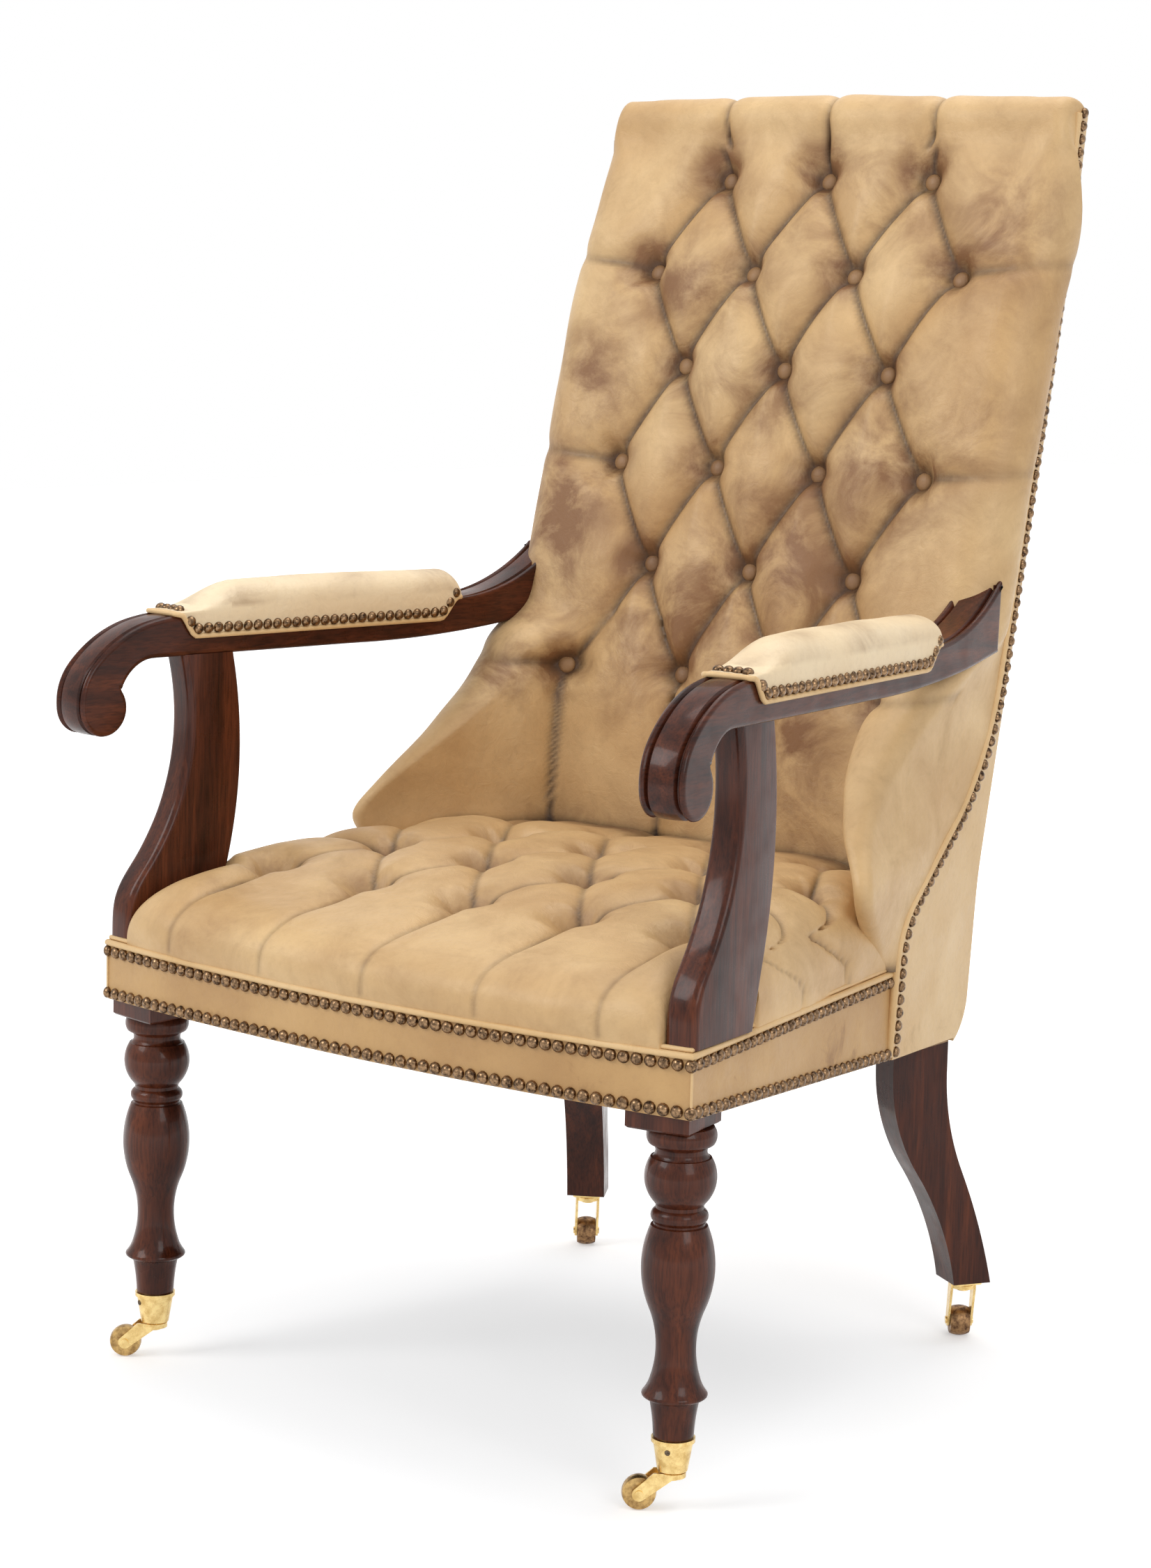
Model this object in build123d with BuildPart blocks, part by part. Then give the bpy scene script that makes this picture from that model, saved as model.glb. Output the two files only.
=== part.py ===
"""Library chair: a buttoned leather armchair with a mahogany frame on brass castors.

X runs to the sitter's left as seen from the front, Y runs from the front to the back and
Z is up.  The origin is on the floor under the middle of the chair.
"""
import os
from math import atan2, cos, degrees, pi, radians, sin

from build123d import *

# Driving dimensions, in millimetres
seat_front_width = 640
seat_back_width = 444
front_y = -300
rear_y = 247
front_bow = 28
rail_top_z = 374
rail_height = 48
rail_drop = 38
rail_thickness = 25
leather = 2
overrun = 60
skin_gap = 0.3
lip_height = 4.5
lip_width = 30

brace_drop = 6
brace_height = 28
brace_length = 60

# Back frame, seen from the side as a line that leans back and straightens at the top
lean_start_z = 440
lean_end_y = 340
lean_end_z = 985
back_top_y = 350
back_top_z = 1122
back_side_lean = 3.2
panel_proud = 1
panel_foot_y = 223
panel_foot_z = 290
back_bend_radius = 240
panel_roll_radius = 45
outside_panel = 5
panel_edge_inset = 16
side_panel_thickness = 3
wing_board_thickness = 14
wing_board_inset = 12
wing_board_top_z = 500
stile_width = 30
stile_depth = 34
top_rail_depth = 16
cross_rail_height = 38
frame_top_z = 1098
lower_rail_z = 470
webbing = 2

# Side panel front edge, where the nails run
wing_foot_y = 84
wing_bend_z = 416
wing_shoulder_y = 253
wing_shoulder_z = 545
wing_low_radius = 65
wing_high_radius = 205
piping_width = 7
piping_height = 5
piping_proud = 2

# Front legs: square block and turning
block_side = 57
block_bottom_z = 312
leg_foot_z = 60
collar_radius = 28
collar_height = 14
neck_radius = 20.5
ball_radius = 28.7
ball_z = 270
under_ball_radius = 19.2
under_ball_z = 246
ring_radius = 22.6
ring_z = 237
vase_top_radius = 24.5
vase_top_z = 230
vase_radius = 28.6
vase_z = 210
vase_lower_radius = 22.8
vase_lower_z = 166
waist_radius = 16.3
waist_z = 127
bead_radius = 25.3
bead_z = 98.5
bead_height = 17
cone_top_radius = 20.5
cone_foot_radius = 16.3

# Rear legs: square sabre legs turned towards the corner
rear_leg_turn = 31.2
rear_leg_top_x = 189.5
rear_leg_top_y = 214
rear_leg_sweep = 61
rear_leg_foot_z = 58
rear_leg_width = 37
rear_leg_top_depth = 54
rear_leg_foot_depth = 37

# Arms and posts
arm_yaw = 7.14
arm_width = 40
arm_outer_x = 336
arm_outer_y = -323
arm_under_z = 628
arm_top_z = 664
arm_sag = 4
arm_bow_y = -40
arm_throat_y = -276
arm_shoulder_y = -300
arm_roll_drop = 13
arm_rear_y = 205
tenon_length = 45
tenon_height = 40
tenon_width = 15
arm_rear_z = 648
arm_rear_depth = 60
scroll_radius = 24.5
scroll_z = 587
scroll_brow_share = 0.93
scroll_brow_rise_share = 0.55
scroll_roll_share = 0.35
post_width = 28
post_inset = 12
post_top_front = -239
post_top_rear = -183
post_waist_front = -232
post_waist_rear = -174
post_waist_z = 553
post_bend_front = -257
post_bend_z = 475
post_knee_front = -297
post_knee_rear = -194
post_knee_z = 418
post_foot_rear = -203
pad_front_y = -247
pad_rear_y = 84
pad_thickness = 24
pad_drop = 20
pad_crown = 4
pad_overhang = 3

# Seat cushion and its buttons
seat_crown_z = 464
seat_crown_y = 30
seat_roll_depth = 30
seat_roll_height = 60
seat_side_depth = 20
seat_side_height = 52
seat_bulge = 4
seat_bulge_share = 0.6
bow_sweep = 15
seat_rear_y = 200
seat_fold_z = 449
seat_fold_y = 136
button_pitch = 114.4
seat_row_y = (-190, -100, -14, 85)
seat_button_z = (420, 433, 443, 446)
seat_row_count = (5, 4, 5, 4)

# Back cushion and its buttons
back_button_y = (311, 277, 250, 227, 211, 178)
back_button_z = (1062, 976, 883, 792, 698, 600)
back_row_count = (3, 4, 3, 4, 3, 4)
back_half_width = 267
back_waist_y = 150
back_waist_z = 585
back_shoulder_y = 240
back_shoulder_z = 950
back_brow_y = 302
back_brow_z = 1098
back_crown_y = 325
back_crown_z = 1142
back_waist_round = 200
back_brow_round = 60
back_crown_round = 14
back_corner_radius = 25
back_draw = 20
back_edge_radius = 42
lower_panel_y = 142
pleat_x = 172
wing_z = (405, 430, 450, 466, 485, 504, 541, 575)
wing_nose_x = (258, 272, 281, 284, 272, 258, 237, 226)
wing_nose_y = (34, 2, -20, -26, -14, -2, 34, 70)
wing_nose_radius = (8, 9, 9, 9, 10, 12, 20, 28)
wing_foot_nose = (246, 64, 6)
wing_head_nose = (224, 96, 32)
wing_hollow = 6
wing_bulge = 3
wing_pleat_x = 232
wing_pleat_y = 121
tuft_width = 66
tuft_depth = 36
pleat_fall = 18
pleat_draw = 12
edge_fall_width = 60
edge_fall_slope = 1.2
lower_pleat_y = 160
hollow_radius = 26
fold_slope = 1
button_radius = 9
button_height = 5

# Webbing and cloth under the seat
strap_width = 50
strap_pitch = 90
strap_rows = 5
strap_columns = 4
cloth_inset = 12
cloth = 1

# Front castors
cup_wall = 1.4
cup_top_radius = 16.1
cup_bottom_radius = 12.2
cup_bottom_z = 33
cup_floor = 2
cup_lip_radius = 17.6
cup_lip_height = 3.5
castor_clearance = 0.4
seat_clearance = 0.1
running_clearance = 0.05
stem_radius = 4
washer_radius = 8
washer_height = 1.5
rivet_radius = 5.5
stem_head_radius = 7
stem_head_height = 2
front_wheel_radius = 14
front_wheel_width = 11
front_rim_drop = 1
front_trail = 26
front_trail_angle = 218
horn_plate_radius = 11
horn_plate_height = 4
horn_cheek = 2.2
axle_radius = 2.2
axle_head_radius = 3.4
axle_head_height = 1.2
side_play = 0.4

# Rear castors
rear_plate_side = 27
rear_plate_height = 3
rear_wheel_radius = 14
rear_wheel_width = 18
rear_rim_drop = 2
rear_trail = 15
rear_trail_angle = 131
fork_plate_radius = 11
fork_plate_height = 3.5

# Values worked out from the dimensions above
side_taper = (seat_front_width - seat_back_width) / 2 / (rear_y - front_y)
taper_angle = degrees(atan2(side_taper, 1))
rail_slope = rail_drop / (rear_y - front_y)
rail_bottom_z = rail_top_z - rail_height
half_front = seat_front_width / 2
seat_base_z = rail_top_z + lip_height + skin_gap
bow_radius = (half_front ** 2 + front_bow ** 2) / (2 * front_bow)
span = seat_front_width
tall = back_top_z
Outward = Keep.TOP
Inward = Keep.BOTTOM


def side_x(y):
    """Half width of the seat's outside at a depth y."""
    return half_front - side_taper * (y - front_y)


def rail_foot(y):
    """Height of the underside of the seat rails at a depth y."""
    return rail_bottom_z - rail_slope * (y - front_y)


def rail_foot_plane(lower=0):
    """Sloping plane along the underside of the seat rails, lowered square to itself."""
    slope = atan2(rail_slope, 1)
    plane = Plane(origin=(0, front_y, rail_bottom_z), z_dir=(0, sin(slope), cos(slope)))
    return plane.offset(-lower)


def rail_side_plane(inset, side=1):
    """Upright plane along the outside of the seat, moved inwards by inset."""
    turn = radians(taper_angle)
    origin = (side * (side_x(rear_y) - inset / cos(turn)), rear_y, rail_bottom_z)
    return Plane(origin=origin, z_dir=(side * cos(turn), sin(turn), 0))


def back_side_plane(inset, side=1):
    """Plane of the back's outside, which leans out towards the top."""
    turn = radians(taper_angle)
    lean = radians(back_side_lean)
    normal = (side * cos(turn) * cos(lean), sin(turn) * cos(lean), -sin(lean))
    foot_x = side_x(rear_y) + panel_proud
    base = Plane(origin=(side * foot_x, rear_y, panel_foot_z), z_dir=normal)
    return base.offset(-inset)


def back_side_x(y, z):
    """Half width of the back's outside at a depth y and a height z."""
    turn = radians(taper_angle)
    lean = radians(back_side_lean)
    rise = (z - panel_foot_z) * sin(lean) / (cos(lean) * cos(turn))
    return side_x(y) + panel_proud + rise


def back_y(z):
    """Depth of the back's outside face at a height z."""
    lean = (lean_end_y - rear_y) / (lean_end_z - lean_start_z)
    if z < lean_start_z:
        return rear_y
    if z < lean_end_z:
        return rear_y + lean * (z - lean_start_z)
    return lean_end_y + (back_top_y - lean_end_y) * (z - lean_end_z) / (back_top_z - lean_end_z)


def back_curve(shift, low_z, high_z):
    """Line of the outside back from low_z to high_z, moved forwards by shift."""
    corners = [(back_y(low_z) - shift, low_z)]
    for z in (lean_start_z, lean_end_z):
        if low_z < z < high_z:
            corners.append((back_y(z) - shift, z))
    corners.append((back_y(high_z) - shift, high_z))
    if len(corners) == 2:
        return Line(*corners)
    return FilletPolyline(*corners, radius=back_bend_radius)


def wing_edge(shift, low_z, high_z):
    """Front edge of the side panel, which sweeps from the seat rail up to the back."""
    corners = [
        (wing_foot_y - shift, low_z),
        (wing_foot_y - shift, wing_bend_z),
        (wing_shoulder_y - shift, wing_shoulder_z),
        (back_y(lean_end_z) - panel_edge_inset - shift, lean_end_z),
        (back_y(high_z) - panel_edge_inset - shift, high_z),
    ]
    return FilletPolyline(*corners, radius=[wing_low_radius, wing_high_radius, back_bend_radius])


def cut_between(outer, inner):
    """Keep what lies between two planes of the right side."""
    split(bisect_by=outer, keep=Inward)
    split(bisect_by=inner, keep=Outward)


def cut_both_sides(inset):
    """Trim a piece that spans the back to the back's two outside planes."""
    split(bisect_by=back_side_plane(inset, 1), keep=Inward)
    split(bisect_by=back_side_plane(inset, -1), keep=Inward)


def frame_outline(inset):
    """Plan of the seat frame, moved inwards by inset, with its bowed front."""
    front = front_y + inset
    half = side_x(front) - inset
    ThreePointArc((-half, front), (0, front - front_bow), (half, front))
    Line((half, front), (side_x(rear_y) - inset, rear_y))
    Line((side_x(rear_y) - inset, rear_y), (-side_x(rear_y) + inset, rear_y))
    Line((-side_x(rear_y) + inset, rear_y), (-half, front))


pieces = {}


def add_pair(name, right):
    """Store a right hand piece and its mirror image."""
    with BuildPart() as left:
        mirror(right.part, about=Plane.YZ)
    pieces[name + "_right"] = right
    pieces[name + "_left"] = left


# Front legs, each turned below a square block that fills the corner of the seat frame
wood = leather
block_inner_x = half_front - wood - block_side
block_centre_x = block_inner_x + block_side / 2
block_front_y = front_y + wood
block_rear_y = block_front_y + block_side
block_centre_y = block_front_y + block_side / 2
spigot_top_radius = cup_top_radius - cup_wall - seat_clearance
spigot_foot_radius = cup_bottom_radius - cup_wall - seat_clearance
spigot_foot_z = cup_bottom_z + cup_floor + stem_head_height + castor_clearance
collar_z = block_bottom_z - collar_height
neck_z = (collar_z + ball_z + ball_radius / 2) / 2
ball_top = (ball_radius * 0.8, ball_z + ball_radius * 0.6)
cone_middle = (cone_top_radius + cone_foot_radius) / 2 - leather / 2

leg_view = Plane(origin=(block_centre_x, block_centre_y, 0), x_dir=(1, 0, 0), z_dir=(0, -1, 0))
leg_axis = Axis((block_centre_x, block_centre_y, 0), (0, 0, 1))


with BuildPart() as front_leg:
    with BuildSketch(Plane.XY.offset(block_bottom_z)):
        with BuildLine():
            frame_outline(wood)
        make_face()
        with Locations((block_inner_x + span / 2, block_rear_y - span / 2)):
            Rectangle(span, span, mode=Mode.INTERSECT)
    extrude(amount=rail_top_z - block_bottom_z)
    with BuildSketch(leg_view):
        with BuildLine():
            l1 = Line((0, block_bottom_z), (collar_radius, block_bottom_z))
            l2 = Line(l1 @ 1, (collar_radius, collar_z))
            l3 = ThreePointArc(l2 @ 1, (neck_radius, neck_z), ball_top)
            l4 = ThreePointArc(l3 @ 1, (ball_radius, ball_z), (under_ball_radius, under_ball_z))
            l5 = ThreePointArc(l4 @ 1, (ring_radius, ring_z), (vase_top_radius - wood, vase_top_z))
            l6 = ThreePointArc(l5 @ 1, (vase_radius, vase_z), (vase_lower_radius, vase_lower_z))
            bead_top = (cone_top_radius, bead_z + bead_height / 2)
            bead_foot = (cone_top_radius, bead_z - bead_height / 2)
            l7 = ThreePointArc(l6 @ 1, (waist_radius, waist_z), bead_top)
            l8 = ThreePointArc(l7 @ 1, (bead_radius, bead_z), bead_foot)
            cone_waist = (cone_middle, (bead_z + leg_foot_z) / 2)
            l9 = ThreePointArc(l8 @ 1, cone_waist, (cone_foot_radius, leg_foot_z))
            l10 = Line(l9 @ 1, (spigot_top_radius, leg_foot_z))
            l11 = Line(l10 @ 1, (spigot_foot_radius, spigot_foot_z))
            l12 = Line(l11 @ 1, (0, spigot_foot_z))
            Line(l12 @ 1, l1 @ 0)
        make_face()
    revolve(axis=leg_axis)
add_pair("front_leg", front_leg)

# Rear legs, square sabre legs that sweep out to the corner and straighten at the foot
turn = radians(rear_leg_turn)
rear_out = Vector(sin(turn), cos(turn), 0)
rear_foot_x = rear_leg_top_x + rear_leg_sweep * sin(turn)
rear_foot_y = rear_leg_top_y + rear_leg_sweep * cos(turn)
leg_drop = rail_bottom_z - rear_leg_foot_z
sabre_view = Plane(
    origin=(rear_leg_top_x, rear_leg_top_y, rear_leg_foot_z),
    x_dir=rear_out,
    z_dir=rear_out.cross(Vector(0, 0, 1)),
)
with BuildPart() as rear_leg:
    with BuildSketch(sabre_view):
        with BuildLine():
            half_top = rear_leg_top_depth / 2
            half_foot = rear_leg_foot_depth / 2
            f1 = Line((-half_top, leg_drop), (-half_top, leg_drop * 0.75))
            f2 = TangentArc(f1 @ 1, (rear_leg_sweep * 0.46 - half_top, leg_drop * 0.4), tangent=f1 % 1)
            f3 = TangentArc(f2 @ 1, (rear_leg_sweep - half_foot, 0), tangent=f2 % 1)
            b1 = Line((half_top, leg_drop), (half_top, leg_drop * 0.75))
            b2 = TangentArc(b1 @ 1, (rear_leg_sweep * 0.4 + half_top * 0.8, leg_drop * 0.4), tangent=b1 % 1)
            b3 = TangentArc(b2 @ 1, (rear_leg_sweep + half_foot, 0), tangent=b2 % 1)
            Line(f3 @ 1, b3 @ 1)
            Line(b1 @ 0, f1 @ 0)
        make_face()
    extrude(amount=rear_leg_width / 2, both=True)
    split(bisect_by=rail_foot_plane(), keep=Keep.BOTTOM)
add_pair("rear_leg", rear_leg)

# Outside back, a padded panel whose foot rolls in under the seat frame
with BuildPart() as outside_back:
    with BuildSketch(Plane.YZ):
        with BuildLine():
            roll_z = rail_bottom_z
            o1 = back_curve(0, roll_z, back_top_z)
            o2 = RadiusArc((rear_y, roll_z), (panel_foot_y, panel_foot_z), panel_roll_radius)
            i1 = back_curve(outside_panel, roll_z, back_top_z)
            inner_foot = (panel_foot_y, panel_foot_z + outside_panel * 0.6)
            i2 = RadiusArc((rear_y - outside_panel, roll_z), inner_foot, panel_roll_radius)
            Line(o1 @ 1, i1 @ 1)
            Line(o2 @ 1, i2 @ 1)
        make_face()
    extrude(amount=span / 2, both=True)
    cut_both_sides(0)
pieces["outside_back"] = outside_back

# Seat rails: a bowed front rail, two tapering side rails and a rear rail
back_wood_y = rear_y - outside_panel
with BuildPart() as front_rail:
    with BuildSketch(Plane.XY.offset(rail_top_z)):
        with BuildLine():
            frame_outline(wood)
        make_face()
        with Locations((0, front_y + rail_thickness - span / 2)):
            Rectangle(block_inner_x * 2, span, mode=Mode.INTERSECT)
    extrude(amount=-rail_height - rail_height)
    split(bisect_by=rail_foot_plane(), keep=Keep.TOP)
pieces["front_rail"] = front_rail


def rail_side_view(start):
    """Side view of a seat rail, with a sloping underside and a bevel at the rear."""
    bevel_y = panel_foot_y - outside_panel
    Polyline(
        (start, rail_top_z),
        (back_wood_y, rail_top_z),
        (back_wood_y, rail_bottom_z),
        (bevel_y, rail_foot(bevel_y)),
        (start, rail_foot(start)),
        close=True,
    )


with BuildPart() as side_rail:
    with BuildSketch(Plane.YZ):
        with BuildLine():
            rail_side_view(block_rear_y)
        make_face()
    extrude(amount=span / 2)
    cut_between(rail_side_plane(wood), rail_side_plane(wood + rail_thickness))
add_pair("side_rail", side_rail)

with BuildPart() as rear_rail:
    with BuildSketch(Plane.YZ):
        with BuildLine():
            rail_side_view(back_wood_y - rail_thickness)
        make_face()
    extrude(amount=span / 2, both=True)
    split(bisect_by=rail_side_plane(wood + rail_thickness, 1), keep=Inward)
    split(bisect_by=rail_side_plane(wood + rail_thickness, -1), keep=Inward)
pieces["rear_rail"] = rear_rail

# Corner braces, glued across the corners between the rails
with BuildPart() as corner_braces:
    brace_inset = wood + rail_thickness
    with BuildSketch(Plane.XY.offset(rail_top_z - brace_drop)):
        with BuildLine():
            brace_front = back_wood_y - rail_thickness
            Polyline(
                (side_x(brace_front) - brace_inset, brace_front),
                (side_x(brace_front) - brace_inset - brace_length, brace_front),
                (side_x(brace_front - brace_length) - brace_inset, brace_front - brace_length),
                close=True,
            )
        make_face()
        mirror(about=Plane.YZ)
    extrude(amount=-brace_height)
    split(bisect_by=rail_side_plane(brace_inset, 1), keep=Inward)
    split(bisect_by=rail_side_plane(brace_inset, -1), keep=Inward)
    with BuildSketch(Plane.XY.offset(rail_top_z - brace_drop)):
        with BuildLine():
            Polyline(
                (block_inner_x, front_y + rail_thickness),
                (block_inner_x, block_rear_y),
                (side_x(block_rear_y + brace_length) - brace_inset, block_rear_y + brace_length),
                (block_inner_x - brace_length, front_y + rail_thickness),
                close=True,
            )
        make_face()
        mirror(about=Plane.YZ)
    extrude(amount=-brace_height)
    split(bisect_by=rail_side_plane(brace_inset, 1), keep=Inward)
    split(bisect_by=rail_side_plane(brace_inset, -1), keep=Inward)
pieces["corner_braces"] = corner_braces

# Back frame: two stiles, a top rail and a lower rail
def build_stile(gap):
    """Right hand stile of the back, grown by a gap where it meets padding."""
    with BuildPart() as stile:
        with BuildSketch(Plane.YZ):
            with BuildLine():
                rear = back_curve(outside_panel - gap, rail_top_z, frame_top_z)
                front = back_curve(outside_panel + stile_depth + gap, rail_top_z, frame_top_z)
                Line(rear @ 0, front @ 0)
                Line(rear @ 1, front @ 1)
            make_face()
        extrude(amount=span / 2)
        cut_between(
            back_side_plane(side_panel_thickness - gap),
            back_side_plane(side_panel_thickness + stile_width + gap),
        )
    return stile


back_stile = build_stile(0)
add_pair("back_stile", back_stile)


def build_cross_rail(low_z, high_z, depth):
    """Rail across the back between the stiles, with its face along the outside back."""
    with BuildPart() as rail:
        with BuildSketch(Plane.YZ):
            with BuildLine():
                rear = back_curve(outside_panel, low_z, high_z)
                front = back_curve(outside_panel + depth, low_z, high_z)
                Line(rear @ 0, front @ 0)
                Line(rear @ 1, front @ 1)
            make_face()
        extrude(amount=span / 2, both=True)
        cut_both_sides(side_panel_thickness + stile_width)
    return rail


pieces["back_top_rail"] = build_cross_rail(frame_top_z - cross_rail_height, frame_top_z, top_rail_depth)
pieces["back_lower_rail"] = build_cross_rail(lower_rail_z, lower_rail_z + cross_rail_height, stile_depth)


# Wing boards, which carry the padding at the foot of each side of the back
def build_wing_board(gap):
    """Right hand wing board, grown by a gap where it meets padding."""
    with BuildPart() as board:
        with BuildSketch(Plane.YZ):
            with BuildLine():
                foot = wing_foot_y + wing_board_inset - gap
                rise = wing_board_top_z - wing_bend_z
                run = (wing_shoulder_y - wing_foot_y) / (wing_shoulder_z - wing_bend_z)
                corners = [
                    (foot, rail_top_z),
                    (foot, wing_bend_z),
                    (foot + run * rise, wing_board_top_z),
                ]
                edge = FilletPolyline(*corners, radius=wing_low_radius)
                rear = back_curve(outside_panel + stile_depth, rail_top_z, wing_board_top_z)
                Line(edge @ 0, rear @ 0)
                Line(edge @ 1, rear @ 1)
            make_face()
        extrude(amount=span / 2)
        cut_between(
            back_side_plane(side_panel_thickness - gap),
            back_side_plane(side_panel_thickness + wing_board_thickness + gap),
        )
    return board


add_pair("wing_board", build_wing_board(0))

# Leather side panels, nailed round their edges over the boards, stiles and side rails
with BuildPart() as side_panel:
    with BuildSketch(Plane.YZ):
        with BuildLine():
            rear = back_curve(outside_panel, rail_bottom_z, back_top_z)
            edge = wing_edge(0, rail_foot(wing_foot_y), back_top_z)
            r2 = RadiusArc(rear @ 0, inner_foot, panel_roll_radius)
            Line(r2 @ 1, edge @ 0)
            Line(rear @ 1, edge @ 1)
        make_face()
    extrude(amount=span / 2)
    cut_between(back_side_plane(0), back_side_plane(side_panel_thickness))
add_pair("side_panel", side_panel)

# Piping along the front edge of each side panel
def build_side_piping(gap):
    """Piping on the right hand side panel, grown by a gap where it meets padding."""
    with BuildPart() as piping:
        with BuildSketch(Plane.YZ):
            with BuildLine():
                low = rail_top_z + lip_height + skin_gap
                rear = wing_edge(skin_gap, low, back_top_z)
                front = wing_edge(skin_gap + piping_width + gap, low, back_top_z)
                Line(rear @ 0, front @ 0)
                Line(rear @ 1, front @ 1)
            make_face()
        extrude(amount=span / 2 + piping_height)
        cut_between(
            back_side_plane(-piping_proud),
            back_side_plane(piping_height - piping_proud + gap),
        )
    return piping


add_pair("side_piping", build_side_piping(0))

# Leather round the seat rails, and the leather lip that folds over their top
with BuildPart() as rail_leather:
    with BuildSketch(Plane.XY.offset(rail_top_z)):
        with BuildLine():
            frame_outline(0)
        make_face()
        with BuildLine():
            frame_outline(wood)
        make_face(mode=Mode.SUBTRACT)
        with Locations((0, wing_foot_y - skin_gap - span / 2)):
            Rectangle(span + span, span, mode=Mode.INTERSECT)
    extrude(amount=-rail_height - rail_height)
    split(bisect_by=rail_foot_plane(), keep=Keep.TOP)
pieces["rail_leather"] = rail_leather

with BuildPart() as seat_lip:
    with BuildSketch(Plane.XY.offset(rail_top_z)):
        with BuildLine():
            frame_outline(0)
        make_face()
        with BuildLine():
            frame_outline(lip_width)
        make_face(mode=Mode.SUBTRACT)
        with Locations((0, wing_foot_y - skin_gap - span / 2)):
            Rectangle(span + span, span, mode=Mode.INTERSECT)
    extrude(amount=lip_height)
pieces["seat_lip"] = seat_lip

# Webbing under the seat: straps from front to back, laid over straps from side to side
with BuildPart() as seat_webbing:
    with BuildSketch(Plane.XY.offset(rail_top_z)):
        for row in range(strap_rows):
            y = front_y + lip_width + strap_width + row * strap_pitch
            with Locations((0, y)):
                Rectangle((side_x(y) - lip_width - strap_width / 2) * 2, strap_width)
    extrude(amount=webbing)
    with BuildSketch(Plane.XY.offset(rail_top_z + webbing)):
        strap_front = front_y + lip_width + skin_gap
        strap_rear = back_wood_y - rail_thickness / 2
        with Locations((0, (strap_front + strap_rear) / 2)):
            with GridLocations(strap_pitch, span, strap_columns, 1):
                Rectangle(strap_width, strap_rear - strap_front)
    extrude(amount=webbing)
pieces["seat_webbing"] = seat_webbing

# Cloth nailed under the seat frame
with BuildPart() as dust_cover:
    with BuildSketch(Plane.XY.offset(rail_bottom_z)):
        with BuildLine():
            frame_outline(wood + cloth_inset)
        make_face()
        with Locations((0, panel_foot_y - skin_gap - span / 2)):
            Rectangle(span + span, span, mode=Mode.INTERSECT)
    extrude(amount=-rail_height - rail_height)
    split(bisect_by=rail_foot_plane(), keep=Keep.BOTTOM)
    split(bisect_by=rail_foot_plane(cloth), keep=Keep.TOP)
    for leg in ("front_leg_right", "front_leg_left", "rear_leg_right", "rear_leg_left"):
        add(pieces[leg].part, mode=Mode.SUBTRACT)
pieces["dust_cover"] = dust_cover

# Arms: moulded tops that roll over into scrolls, on posts that sweep forward to the rail
yaw = radians(arm_yaw)
arm_side = Plane(
    origin=(arm_outer_x, arm_outer_y, 0),
    x_dir=(-sin(yaw), cos(yaw), 0),
    z_dir=(cos(yaw), sin(yaw), 0),
)
post_side = arm_side.offset(-post_inset)


def along(y):
    """Distance along the arm, from the middle of the scroll, at a depth y."""
    return (y - arm_outer_y) / cos(yaw)


def arm_rear_top(gap):
    """Top of the arm behind its pad, which curves up to the back, raised by a gap."""
    rear = (along(arm_rear_y), arm_rear_z + arm_rear_depth + gap)
    return TangentArc((along(pad_rear_y), arm_top_z + gap), rear, tangent=(1, 0))


def post_rear_edge(gap):
    """Rear edge of the arm post, moved back by a gap."""
    edge = ThreePointArc(
        (along(post_top_rear) + gap, arm_under_z),
        (along(post_waist_rear) + gap, post_waist_z),
        (along(post_knee_rear) + gap, post_knee_z),
    )
    Line(edge @ 1, (along(post_foot_rear) + gap, rail_top_z + lip_height))


with BuildPart() as arm:
    with BuildSketch(arm_side):
        with BuildLine():
            scroll_foot = arm_under_z - scroll_z
            cusp = (scroll_radius * cos(pi / 4), scroll_z + scroll_radius * sin(pi / 4))
            scroll_low = (scroll_radius * sin(pi / 9), scroll_z - scroll_radius * cos(pi / 9))
            scroll_front = (-scroll_radius, scroll_z)
            a1 = Line((along(arm_rear_y), arm_rear_z), (along(arm_rear_y / 2), arm_under_z + arm_sag))
            a2 = TangentArc(a1 @ 1, (along(arm_bow_y), arm_under_z), tangent=a1 % 1)
            a3 = Line(a2 @ 1, (along(arm_throat_y), arm_under_z))
            throat = ((along(arm_throat_y) + cusp[0]) / 2, arm_under_z - arm_sag)
            a4 = ThreePointArc(a3 @ 1, throat, cusp)
            a5 = ThreePointArc(a4 @ 1, (scroll_radius, scroll_z), scroll_low)
            scroll_turn = (-scroll_radius * cos(pi / 4), scroll_z - scroll_radius * sin(pi / 4))
            a6 = ThreePointArc(a5 @ 1, scroll_turn, scroll_front)
            shoulder = (along(arm_shoulder_y), arm_top_z - arm_roll_drop)
            brow = (-scroll_radius * scroll_brow_share, scroll_z + scroll_foot * scroll_brow_rise_share)
            roll_end = (-scroll_radius * scroll_roll_share, scroll_z + scroll_foot)
            a7 = ThreePointArc(a6 @ 1, brow, roll_end)
            a8 = TangentArc(a7 @ 1, shoulder, tangent=a7 % 1)
            a9 = Line(a8 @ 1, (along(pad_front_y), arm_top_z))
            Line(a9 @ 1, (along(pad_rear_y), arm_top_z))
            a10 = arm_rear_top(0)
            Line(a10 @ 1, a1 @ 0)
        make_face()
    extrude(amount=-arm_width)
    with BuildSketch(arm_side.offset(-arm_width)):
        with Locations((along(arm_rear_y) + tenon_length / 2, arm_rear_z + arm_rear_depth / 2)):
            Rectangle(tenon_length, tenon_height)
    extrude(amount=tenon_width)
    add(back_stile.part, mode=Mode.SUBTRACT)
add_pair("arm", arm)

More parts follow.
